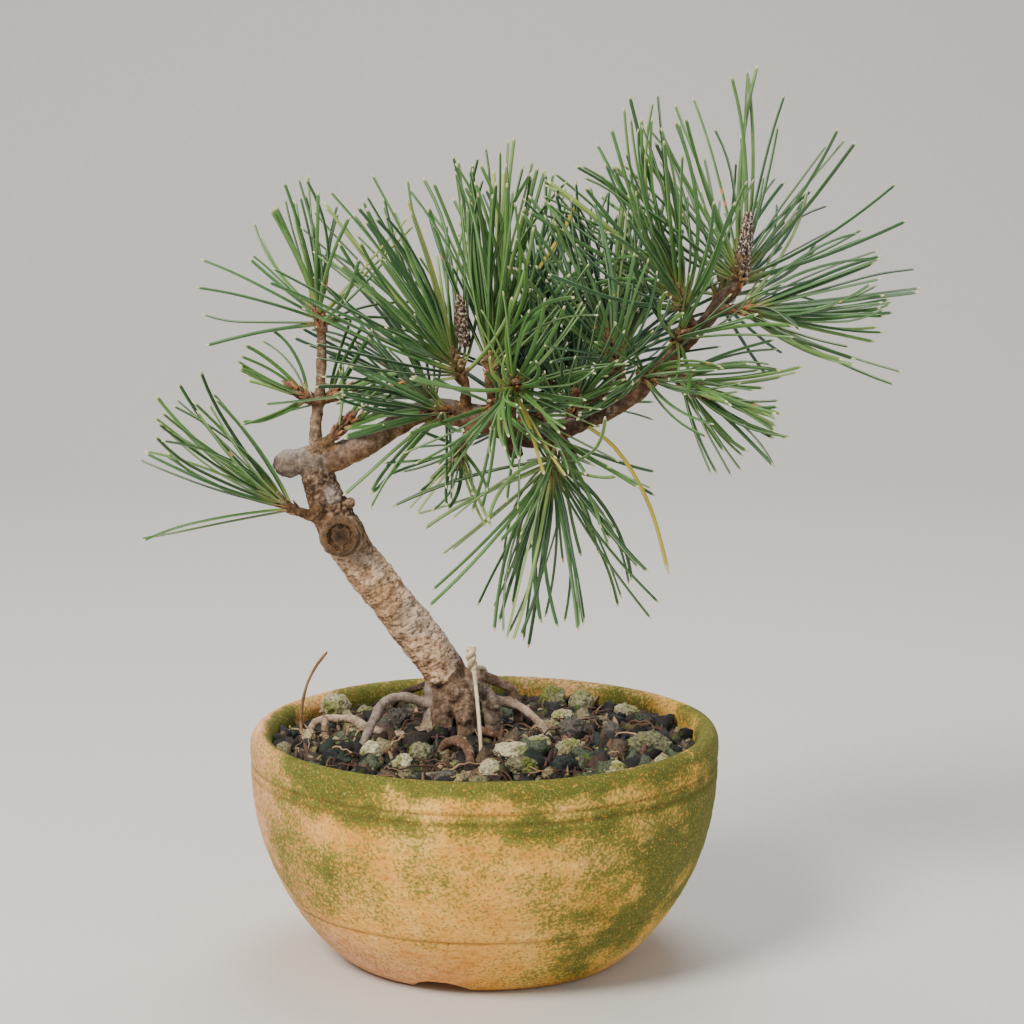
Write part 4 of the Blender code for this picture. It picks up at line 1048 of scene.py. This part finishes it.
def makeBark():
    # pine bark: flaky grey-tan plates on the trunk, smoother red-brown on the branch, dark cracks,
    # and silver weathering on the upper sides; the crack value also carries painted shade where the wood
    # sinks
    finish, tree, shader, spot, crack, silver, heart = newFinish("pine bark", "crack", "silver", "heart")
    tint = addNode(tree, "ShaderNodeAttribute", attribute_name="barkTint").outputs["Color"]
    rough, fine = (
        addNode(tree, "ShaderNodeTexNoise",
                {"Vector": spot, "Scale": 1 / (size * mm), "Detail": detail, "Roughness": roughness})
        for size, detail, roughness in ((2.4, 7.0, 0.75), (0.7, 3.0, 0.7)))
    shade = addNode(tree, "ShaderNodeValToRGB", {"Fac": rough},
                    stops=((0.28, "#5A4A3C"), (0.42, "#A79784"), (0.55, "#F2EBE0"), (0.72, "#FFFFFF")))
    colour = addNode(tree, "ShaderNodeMix", {"Factor": 0.9, "A": tint, "B": shade},
                     data_type="RGBA", blend_type="MULTIPLY")
    worn = addNode(tree, "ShaderNodeMapRange",
                   {"Value": rough, "From Min": 0.55, "From Max": 0.75, "To Max": 0.5})
    pale = addNode(tree, "ShaderNodeMath", {0: silver, 1: fine}, operation="MULTIPLY")
    broken = addNode(tree, "ShaderNodeMath", {0: fine, 1: 0.8, 2: -0.4}, operation="MULTIPLY_ADD")
    # the crack value darkens the cracks and flecks, and adds painted shade where the wood sinks
    gap = addNode(tree, "ShaderNodeMath", {0: crack, 1: broken}, operation="ADD")
    gap = addNode(tree, "ShaderNodeMapRange",
                  {"Value": gap, "From Min": 0.35, "From Max": 0.95, "To Max": 0.82})
    # the pruning scar from its edge to its middle: rolls of callus, a dark gap, an ochre ring, a dark heart
    shifted = addNode(tree, "ShaderNodeMath", {0: rough, 1: 1.1, 2: -0.55}, operation="MULTIPLY_ADD")
    shifted = addNode(tree, "ShaderNodeMath", {0: heart, 1: shifted}, operation="ADD")
    rolls = addNode(tree, "ShaderNodeValToRGB", {"Fac": shifted}, stops=(
        (0.1, "#75604C"), (0.18, "#8C7760"), (0.25, "#463628"), (0.32, "#7A624A"), (0.38, "#33261C"),
        (0.44, "#7A5C3A"), (0.5, "#3C2A1A"), (0.56, "#140E0A"), (0.62, "#66503A"), (0.74, "#4A3A2A"),
        (0.9, "#2A2018")))
    inside = addNode(tree, "ShaderNodeMapRange", {"Value": heart, "From Min": 0.05, "From Max": 0.16})
    rolls = addNode(tree, "ShaderNodeMix", {"Factor": 0.5, "A": rolls, "B": shade},
                    data_type="RGBA", blend_type="MULTIPLY")
    for share, layer in ((worn, "#CDBDA6"), (pale, "#B7B1AC"), (gap, "#2B211A"), (inside, rolls)):
        colour = addNode(tree, "ShaderNodeMix", {"Factor": share, "A": colour, "B": layer}, data_type="RGBA")
    height = addNode(tree, "ShaderNodeMath", {0: fine, 1: 0.4, 2: rough}, operation="MULTIPLY_ADD")
    dull = addNode(tree, "ShaderNodeMapRange", {"Value": rough, "To Min": 0.78, "To Max": 0.95})
    dress(tree, shader, colour, dull, height, 0.4, 0.7)
    shader.inputs["Specular IOR Level"].default_value = 0.3
    return finish


def barkTint(point, normal, route, colour, shades):
    # the route's own colour, with darker patches and, by route, tan, bare and rusty ones
    big = noise.noise(point * 0.09 + Vector((5, 5, 5)))
    patchy = 0.9 * big + (0.2 if route == "branch" else -0.2)
    tint = blendColours(colour, shades["dark"], max(0.0, min(0.7, patchy)))
    if route == "trunk":
        top = smoothstep(127, 137, point.z)
        bare = smoothstep(4.6, 2.4, (point - Vector(bark["barePatch"])).length)
        for shade, share in (
                ("tan", 0.5 * smoothstep(-0.1, 0.5, -normal.x * 0.7 - big)),
                ("dark", 0.45 * smoothstep(90, 74, point.z)),
                ("dark", top * (0.5 + 0.42 * smoothstep(-0.3, 0.15, noise.noise(point * 0.9)))),
                ("bare", 0.85 * bare)):
            tint = blendColours(tint, shades[shade], share)
    if route == "branch":
        tint = blendColours(tint, shades["tan"], 0.7 * smoothstep(0.1, 0.9, -normal.z))
        tint = blendColours(tint, shades["dark"], 0.5 * smoothstep(-6, 4, point.x))
    if route == "branch" and point.x > 45 or route.startswith("twig"):
        tint = blendColours(tint, shades["rust"], 0.45 * smoothstep(-0.1, 0.3, noise.noise(point * 0.5)))
    return tint


def weathering(point, normal, route):
    # silver-grey wood: the upper sides of the stub and the branch, pale roots, patches on the trunk
    weathered = smoothstep(0.3, 0.95, normal.z) * {"stub": 0.7, "branch": 0.5}.get(route, 0.0)
    if route in ("archLeft", "longLeft", "rightPale"):
        weathered = 0.3
    patches = 0.6 * smoothstep(0.0, 0.5, noise.noise(point * 0.12) + normal.x * 0.35)
    return max(weathered, patches * (route == "trunk") * smoothstep(138, 128, point.z))


def makeWood():
    mesh, samples, scarPlace = makeWoodMesh()
    nearest = kdtree.KDTree(len(samples))
    for k, sample in enumerate(samples):
        nearest.insert(sample[0], k)
    nearest.balance()
    toScar = scarPlace.inverted()
    shades = {name: linear(bark[name])[:3] for name in ("dark", "tan", "bare", "rust")}
    tints, cracks, silvers, hearts, moved = [], [], [], [], []
    normals = [n.vector.copy() for n in mesh.vertex_normals]
    for vert, normal in zip(mesh.vertices, normals):
        point = vert.co
        best = min(nearest.find_n(point, 5), key=lambda hit: hit[2] - samples[hit[1]][1])
        spot, radius, colour, flaky, route, tangent, length = samples[best[1]]
        local = toScar @ point
        away = math.hypot(local.x, local.y) / scar["size"]
        onScar = smoothstep(scar["edge"], scar["edge"] - 2, away) * (local.z > -4.0)
        # bark coordinates: how far along the wood, and where round it; squeezing the first makes the
        # flakes and wrinkles lie across the stem
        reach = (point - spot).dot(tangent)
        skin = point - spot - tangent * reach + up * (length + reach) * bark["squeeze"]
        plate = flakes(skin, bark["plateScale"])
        small = flakes(skin, bark["flakeScale"])
        crack = 1 - smoothstep(0.03, 0.34, plate)
        fleck = noise.fractal(skin * 0.55 + up * 30, 0.75, 2.0, 4)
        wrinkle = math.sin(length * 2.4 + reach * 2.4 + 2.5 * noise.noise(point * 0.2))
        wrinkle *= route == "trunk" and point.z > 112
        amount = flaky * (1 - onScar)
        lift = bark["plate"] * (plate - 0.6) + bark["flake"] * (small - 0.5) + bark["fleck"] * fleck
        lift *= amount
        lift += bark["wrinkle"] * wrinkle * (1 - onScar)
        lift += bark["swell"] * noise.fractal(point * 0.3, 0.8, 2.0, 4) * (0.5 + 0.5 * flaky)
        rings = math.sin(away * 5.2 + 1.4 * noise.noise(point * 0.4))
        lift += bark["ring"] * rings * onScar * smoothstep(3.6, 4.4, away)
        moved.append(point + normal * lift)
        tints += [*barkTint(point, normal, route, colour, shades), 1.0]
        darkFleck = smoothstep(0.08, 0.24, -fleck) * (0.4 + 0.4 * flaky)
        cracked = 0.8 * crack * flaky * smoothstep(-0.1, 0.4, noise.noise(point * 0.16))
        # painted shade where the surface sinks, carried in the crack value
        sunkenShade = 0.9 * smoothstep(-0.15, -0.8, lift)
        cracks.append(max(cracked, darkFleck, sunkenShade) * (1 - onScar))
        silvers.append(weathering(point, normal, route) * (1 - onScar))
        hearts.append(onScar * max(0.0, 1 - away / scar["edge"]))
    for vert, point in zip(mesh.vertices, moved):
        vert.co = point
    colours = mesh.color_attributes.new("barkTint", "FLOAT_COLOR", "POINT")
    colours.data.foreach_set("color", tints)
    for name, values in (("crack", cracks), ("silver", silvers), ("heart", hearts)):
        paint(mesh, name, values)
    mesh.materials.clear()
    mesh.materials.append(makeBark())
    addPiece("pine_wood", mesh, "pine_bark", "tree_wood")


print("stage: trunk, branch and roots")
makeWood()


buds = {
    "bud_right": {"foot": (81.0, -0.4, 219.0), "tip": (82.7, 0, 238.6), "radius": 2.0},
    "bud_centre": {"foot": (-6.0, -3.2, 197.6), "tip": (-7.7, -3, 212.4), "radius": 1.9},
}
budScales = {"count": 90, "length": 2.4, "width": 0.8, "resin": 0.9, "flare": 0.14, "tones": (0.0, 0.5),
             "seed": 70, "joints": 14, "sides": 8}
needle = {
    "halfWidth": 0.66, "flatness": 0.6, "sides": 6, "joints": 11, "taper": 0.4, "tipLength": 1.7,
    "thinning": 0.14, "seed": 200, "sheath": 3.2,
    "pairOpening": 13.0,  # degrees between the two needles of a pair
    "curl": 0.4, "wave": 0.24, "lift": 0.14, "ownWave": 0.07,
    "hook": 0.4, "hookShare": 0.3, "softHook": 0.12, "hookFrom": 0.7,  # some needles hook near their tip
}
shoot = {"radius": 1.5, "scales": 26, "scaleLength": 2.6, "scaleWidth": 0.75, "resin": 0.12, "flare": 0.6}


def makeNeedleFinish():
    # living pine needle: waxy green with pale lines of pores along it, pale dry tip, yellow foot,
    # a darker bluish colour where the hue is high, partly the bloom of older needles and partly painted
    # shade, and now and then an orange band
    finish, tree, shader, spot, tone, hue, along, around = newFinish(
        "waxy pine needle", "tone", "hue", "along", "around")
    wax = addNode(tree, "ShaderNodeTexNoise",
                  {"Vector": spot, "Scale": 1 / (4 * mm), "Detail": 4.0, "Roughness": 0.65})
    blend = addNode(tree, "ShaderNodeMath", {0: wax, 1: 0.35, 2: -0.17}, operation="MULTIPLY_ADD")
    fresh = addNode(tree, "ShaderNodeMath", {0: tone, 1: blend}, operation="ADD")
    green = addNode(tree, "ShaderNodeValToRGB", {"Fac": fresh}, stops=(
        (0.05, "#294A1A"), (0.36, "#44702B"), (0.62, "#648E3C"), (0.84, "#93AC4E"), (1.0, "#BDAA34")))
    # the darker bluish colour: partly the bloom of older needles, partly painted shade for the tufts at the
    # back
    bluishShaded = addNode(tree, "ShaderNodeValToRGB", {"Fac": fresh},
                   stops=((0.05, "#133024"), (0.4, "#254C38"), (0.7, "#3F694C"), (0.95, "#6A8F6A")))
    colour = addNode(tree, "ShaderNodeMix", {"Factor": hue, "A": green, "B": bluishShaded}, data_type="RGBA")
    # two lines of pores along the flat sides
    wave = addNode(tree, "ShaderNodeMath", {0: around, 1: math.tau * 2}, operation="MULTIPLY")
    wave = addNode(tree, "ShaderNodeMath", {0: wave}, operation="COSINE")
    slow = addNode(tree, "ShaderNodeTexNoise", {"Vector": spot, "Scale": 1 / (7 * mm), "Detail": 1.0})
    # pale lines, dry tip, yellow foot, and orange bands only where the slow noise peaks
    for source, start, end, atStart, atEnd, layer in (
            (wave, 0.55, 1.0, 0.0, 0.42, "#C3D2AE"), (along, 0.925, 0.97, 0.0, 0.85, "#DDDAA6"),
            (along, 0.0, 0.16, 0.65, 0.0, "#A9B25C"), (slow, 0.765, 0.79, 0.0, 0.85, "#D98E45")):
        share = addNode(tree, "ShaderNodeMapRange", {
            "Value": source, "From Min": start, "From Max": end, "To Min": atStart, "To Max": atEnd})
        colour = addNode(tree, "ShaderNodeMix", {"Factor": share, "A": colour, "B": layer}, data_type="RGBA")
    dull = addNode(tree, "ShaderNodeMapRange", {"Value": wax, "To Min": 0.32, "To Max": 0.56})
    dress(tree, shader, colour, dull, wax, 0.15, 0.4)
    shader.inputs["Specular IOR Level"].default_value = 0.4
    return finish


def makeSheathFinish():
    # papery sheath at the foot of each pair: grey-brown with a rusty edge
    finish, tree, shader, spot = newFinish("papery needle sheath")
    fibre = addNode(tree, "ShaderNodeTexNoise",
                    {"Vector": spot, "Scale": 1 / (1.0 * mm), "Detail": 4.0, "Roughness": 0.7})
    colour = addNode(tree, "ShaderNodeValToRGB", {"Fac": fibre},
                     stops=((0.3, "#4E3A2A"), (0.5, "#8A7150"), (0.7, "#B9A57C")))
    dull = addNode(tree, "ShaderNodeMapRange", {"Value": fibre, "To Min": 0.7, "To Max": 0.9})
    dress(tree, shader, colour, dull, fibre, 0.2, 0.7)
    return finish


def makeScaleFinish():
    # dry bud scales on the shoot: red-brown and ragged, lighter at their edges, with flecks of white resin
    finish, tree, shader, spot, tone, along, resin = newFinish("dry bud scales", "tone", "along", "hue")
    fibre = addNode(tree, "ShaderNodeTexNoise",
                    {"Vector": spot, "Scale": 1 / (0.9 * mm), "Detail": 4.0, "Roughness": 0.7})
    shift = addNode(tree, "ShaderNodeMath", {0: fibre, 1: 0.7, 2: -0.35}, operation="MULTIPLY_ADD")
    mixed = addNode(tree, "ShaderNodeMath", {0: tone, 1: shift}, operation="ADD")
    colour = addNode(tree, "ShaderNodeValToRGB", {"Fac": mixed},
                     stops=((0.15, "#2E1D15"), (0.4, "#573423"), (0.65, "#8A5230"), (0.9, "#B27A4A")))
    edge = addNode(tree, "ShaderNodeMapRange",
                   {"Value": along, "From Min": 0.6, "From Max": 1.0, "To Max": 0.35})
    peak = addNode(tree, "ShaderNodeMapRange", {"Value": fibre, "From Min": 0.5, "From Max": 0.62})
    white = addNode(tree, "ShaderNodeMath", {0: peak, 1: resin}, operation="MULTIPLY")
    for share, layer in ((edge, "#C49A6C"), (white, "#E4D9CC")):
        colour = addNode(tree, "ShaderNodeMix", {"Factor": share, "A": colour, "B": layer}, data_type="RGBA")
    dull = addNode(tree, "ShaderNodeMapRange", {"Value": fibre, "To Min": 0.6, "To Max": 0.85})
    dress(tree, shader, colour, dull, fibre, 0.25, 0.7)
    return finish


def addScales(paths, path, count, length, width, chance, resin, flare, tones=(0.2, 0.9)):
    # pointed scales in a spiral over a shoot or a bud, each a short flat blade that leans outwards
    frames = framesAlong([spot for spot, radius in path])
    for k in range(count):
        share = (k + 0.5) / count
        index = min(int(share * (len(path) - 1)), len(path) - 2)
        spot, radius = path[index]
        tangent, side, rise = frames[index]
        a = k * goldenAngle + chance.uniform(-0.2, 0.2)
        out = side * math.cos(a) + rise * math.sin(a)
        size = length * chance.uniform(0.8, 1.2)
        spots = [spot + out * radius * 0.85,
                 spot + out * (radius + 0.15 * size * flare) + tangent * size * 0.45,
                 spot + out * (radius + size * flare * 0.6) + tangent * size]
        half = width * chance.uniform(0.8, 1.15)
        paths.add(spots, [half, half * 0.9, 0.12], part=2.0, tone=chance.uniform(*tones), hue=resin, twist=a)


def hidesBud(spots):
    # true when a needle would cross in front of one of the winter buds
    for bud in buds.values():
        foot, tip = Vector(bud["foot"]), Vector(bud["tip"])
        for spot in spots[1:]:
            share = (spot.z - foot.z) / (tip.z - foot.z)
            if -0.1 < share < 1.15 and abs(spot.x - foot.lerp(tip, share).x) < 4.2 and spot.y < foot.y + 1:
                return True
    return False


def growNeedles(paths, base, lean, reach, pairs, length, tipOpen, footOpen, hue, chance):
    base, lean = Vector(base), Vector(lean).normalized()
    side = lean.orthogonal().normalized()
    rise = lean.cross(side)
    joints, tipLength = needle["joints"], needle["tipLength"]
    for k in range(pairs):
        share = (k + 0.5) / pairs
        a = k * goldenAngle + chance.uniform(-0.35, 0.35)
        opening = math.radians(footOpen + (tipOpen - footOpen) * share ** 0.8 + chance.uniform(-9, 9))
        out = side * math.cos(a) + rise * math.sin(a)
        way = (lean * math.cos(opening) + out * math.sin(opening)).normalized()
        root = base + lean * (reach * share) + out * shoot["radius"] * 0.7
        bend = (lean * 0.5 + up * needle["lift"] - out * 0.25).normalized()
        bend = bend * needle["curl"] * chance.uniform(-0.2, 1.1)
        bend += Vector([chance.gauss(0, needle["wave"]) for axis in range(3)])
        pairLength = length * chance.uniform(0.78, 1.06)
        pairTone = min(1.0, max(0.0, chance.gauss(0.45, 0.2)))
        pairHue = min(1.0, max(0.0, chance.gauss(hue, 0.16)))
        across = way.cross(Vector([chance.gauss(0, 1) for axis in range(3)])).normalized()
        for hand in (-1, 1):
            spread = math.radians(needle["pairOpening"]) * chance.uniform(0.1, 1.0) * hand
            heading = (way + across * math.tan(spread / 2)).normalized()
            own = bend + Vector([chance.gauss(0, needle["ownWave"]) for axis in range(3)])
            hook = Vector([
                chance.gauss(0, needle["hook" if chance.random() < needle["hookShare"] else "softHook"])
                for axis in range(3)])
            size = pairLength * chance.uniform(0.94, 1.0)
            spot = root + across * hand * 0.35
            spots, radii = [spot], [needle["halfWidth"] * 0.75]
            for j in range(1, joints + 1):
                t = j / joints
                turned = own * (1.6 / joints) + hook * (t > needle["hookFrom"]) * (1.2 / joints)
                heading = (heading + turned).normalized()
                # the last stretch is short, so the needle keeps its width and ends blunt
                last = j == joints
                spot = spot + heading * (tipLength if last else (size - tipLength) / (joints - 1))
                spots.append(spot)
                thin = needle["taper"] if last else 1.0 - needle["thinning"] * t
                radii.append(needle["halfWidth"] * thin)
            if hidesBud(spots):
                continue
            tone = pairTone + chance.uniform(-0.06, 0.06)
            paths.add(spots, radii, tone=tone, hue=pairHue, twist=chance.uniform(0, 3))
        # the sheath holds both needles for the first few millimetres
        sleeve = [root - way * 0.4, root + way * needle["sheath"] * 0.5, root + way * needle["sheath"]]
        paths.add(sleeve, [0.8, 0.95, 0.78], part=1.0)


# single needles that stand out: their tuft, route, half width and tone; a tone of 0 is a dead brown one
oddNeedles = (
    ("hanging", ((33.0, -3, 172), (40.5, -5, 166.5), (47.5, -7, 157), (53.5, -8, 144), (58.5, -8, 125.5)),
     0.85, 1.3),
    ("centre", ((16.5, -9, 222), (22.5, -9.5, 231), (27.0, -9.5, 239), (29.8, -9.5, 245)), 0.85, 1.15),
    ("side", ((-42.7, -4, 171.5), (-38.8, -4.6, 176.3), (-35.6, -4.8, 180.8), (-33.2, -4.6, 184.8)),
     0.55, 0.0),
)


def growShoot(paths, base, lean, reach, chance):
    # the scaly stem that carries the needles, with a small bud at its end
    base, lean = Vector(base), Vector(lean).normalized()
    stem = [(base + lean * ((reach + 4) * k / 8 - 2), shoot["radius"] * (1 - 0.04 * k)) for k in range(9)]
    paths.add(*zip(*stem), part=2.0, tone=0.2, hue=0.1)
    addScales(paths, stem, shoot["scales"], shoot["scaleLength"], shoot["scaleWidth"], chance,
              shoot["resin"], shoot["flare"])
    tip = stem[-1][0]
    knob = [(tip - lean, 1.3), (tip + lean * 0.8, 1.6), (tip + lean * 2.2, 1.1), (tip + lean * 3.2, 0.2)]
    paths.add(*zip(*knob), part=2.0, tone=0.5, hue=0.3)


def makeTufts():
    green, papery, scaly = makeNeedleFinish(), makeSheathFinish(), makeScaleFinish()
    for number, (name, (start, base, lean, reach, *rest)) in enumerate(tufts.items()):
        chance = random.Random(needle["seed"] + number)
        paths = Paths()
        growNeedles(paths, base, lean, reach, *rest, chance)
        for side in sideShoots.get(name, ()):
            growNeedles(paths, *side, chance)
            growShoot(paths, *side[:3], chance)
        growShoot(paths, base, lean, reach, chance)
        for owner, route, halfWidth, tone in oddNeedles:
            if owner == name:
                spots = [spot for spot, radius in smoothRoute([(*point, 1) for point in route], 3)]
                radii = [halfWidth] * (len(spots) - 1) + [halfWidth * needle["taper"]]
                paths.add(spots, radii, part=float(tone == 0), tone=tone, hue=0.0, twist=0.6)
        mesh = paths.sweep(name, needle["sides"], needle["flatness"], green, papery, scaly)
        addPiece(f"{name}_needles", mesh, "pine_needles", f"needles_{name}")
    return scaly


print("stage: needle tufts")
scalyFinish = makeTufts()


def makeBuds():
    for number, (name, bud) in enumerate(buds.items()):
        chance = random.Random(budScales["seed"] + number)
        foot, tip = Vector(bud["foot"]), Vector(bud["tip"])
        path = []
        for k in range(budScales["joints"] + 1):
            share = k / budScales["joints"]
            plump = math.sin(math.pi * (0.16 + 0.84 * share)) ** 0.6
            path.append((foot.lerp(tip, share), max(bud["radius"] * plump * 0.9, 0.15)))
        paths = Paths()
        paths.add(*zip(*path), part=2.0, tone=0.15, hue=0.6)
        addScales(paths, path, budScales["count"], budScales["length"], budScales["width"], chance,
                  budScales["resin"], budScales["flare"], budScales["tones"])
        mesh = paths.sweep(name, budScales["sides"], 1.0, scalyFinish)
        addPiece(f"winter_{name}", mesh, "bud_scales", name)


print("stage: buds")
makeBuds()


# points as x, y, z and radius
tie = {
    "strand": (
        (-0.6, -30.5, 62, 0.6), (-0.8, -29, 70, 0.6), (-1.2, -21, 75.6, 0.6), (-2.0, -10, 82.2, 0.6),
        (-2.9, 0, 88.4, 0.65), (-3.4, 5, 91.8, 0.85), (-2.4, 9, 91.6, 0.8), (-0.4, 14, 90.2, 0.7),
        (1.0, 20, 85, 0.7), (2.0, 25, 76, 0.7), (2.2, 27, 62, 0.7)),
    "end": ((-3.4, 5, 91.6, 0.9), (-4.1, 4.4, 94, 1.15), (-4.4, 4.2, 96.6, 1.2), (-4.4, 4, 99.2, 1.1)),
    "step": 1.2, "endStep": 0.35, "turns": 1.5, "plies": 2, "sides": 8,
}
stalk = {
    "route": ((-59.5, 21.5, 62, 0.55), (-60.4, 21.5, 72, 0.52), (-58.6, 21.5, 82, 0.5),
              (-55.6, 21.5, 88.6, 0.46), (-52.3, 21.5, 93.2, 0.55)),
    "step": 1.0, "fibres": 4, "sides": 8,
}


def makeStrandFinish(name, stops, size):
    # fibres run along the strand, with dirt in patches of the given size
    finish, tree, shader, spot, along, around = newFinish(name, "along", "around")
    lay = addNode(tree, "ShaderNodeCombineXYZ", {"X": along, "Y": around, "Z": 0.0})
    fibre = addNode(tree, "ShaderNodeTexNoise",
                    {"Vector": lay, "Scale": 9.0, "Detail": 4.0, "Roughness": 0.7})
    dirt = addNode(tree, "ShaderNodeTexNoise", {"Vector": spot, "Scale": 1 / (size * mm), "Detail": 4.0})
    mixed = addNode(tree, "ShaderNodeMath", {0: fibre, 1: dirt}, operation="ADD")
    mixed = addNode(tree, "ShaderNodeMath", {0: mixed, 1: 0.5}, operation="MULTIPLY")
    colour = addNode(tree, "ShaderNodeValToRGB", {"Fac": mixed}, stops=stops)
    dull = addNode(tree, "ShaderNodeMapRange", {"Value": dirt, "To Min": 0.7, "To Max": 0.9})
    dress(tree, shader, colour, dull, fibre, 0.2, 0.6)
    return finish


def makeTie():
    # raffia: matt cream fibre, with brown where it is dirty
    raffia = makeStrandFinish(
        "weathered raffia", ((0.3, "#8A6C46"), (0.42, "#B8A482"), (0.54, "#D8C9A8"), (0.7, "#F2E8D0")), 3)
    paths = Paths()
    paths.add(*zip(*smoothRoute(tie["strand"], tie["step"])), tone=0.4)
    end = smoothRoute(tie["end"], tie["endStep"])
    frames = framesAlong([spot for spot, radius in end])
    for ply in range(tie["plies"]):
        spots = []
        for k, ((spot, radius), (tangent, side, rise)) in enumerate(zip(end, frames)):
            a = math.tau * (tie["turns"] * k / len(end) + ply / tie["plies"])
            spots.append(spot + (side * math.cos(a) + rise * math.sin(a)) * radius * 0.7)
        paths.add(spots, [radius * 0.85 for spot, radius in end], tone=0.8)
    addPiece("raffia_tie", paths.sweep("tie", tie["sides"], 1.0, raffia), "raffia", "anchor_tie")


def makeStalk():
    # a dead herb stalk: patchy brown and tan, with a shrivelled tip
    dry = makeStrandFinish(
        "dry herb stalk", ((0.3, "#4A3426"), (0.48, "#84603F"), (0.62, "#B08C66"), (0.78, "#C9AC88")), 4)
    paths = Paths()
    route = smoothRoute(stalk["route"], stalk["step"])
    paths.add([spot for spot, radius in route],
              [radius * (1 + 0.18 * noise.noise(spot * 0.8)) for spot, radius in route])
    tip = route[-1][0]
    for k in range(stalk["fibres"]):
        a = k * goldenAngle
        end = tip + Vector((0.8, 0.4 * math.cos(a), 0.7 + 0.4 * math.sin(a)))
        paths.add([tip - Vector((0.4, 0, 0.5)), end], [0.5, 0.12])
    addPiece("dry_stalk", paths.sweep("stalk", stalk["sides"], 1.0, dry), "dry_stalk", "dry_stem")


def dressScreen():
    # moulded drainage mesh: dark satin plastic
    finish, tree, shader, spot = newFinish("moulded mesh plastic")
    mould = addNode(tree, "ShaderNodeTexNoise", {"Vector": spot, "Scale": 1 / (1.5 * mm), "Detail": 3.0})
    colour = addNode(tree, "ShaderNodeValToRGB", {"Fac": mould}, stops=((0.3, "#1B221C"), (0.7, "#2C352C")))
    dull = addNode(tree, "ShaderNodeMapRange", {"Value": mould, "To Min": 0.4, "To Max": 0.6})
    dress(tree, shader, colour, dull, mould, 0.05, 0.5)
    screen = frame["nodes"]["drain_screen"]
    screen.data.materials.clear()
    screen.data.materials.append(finish)


print("stage: tie, stalk and screen")
makeTie()
makeStalk()
dressScreen()
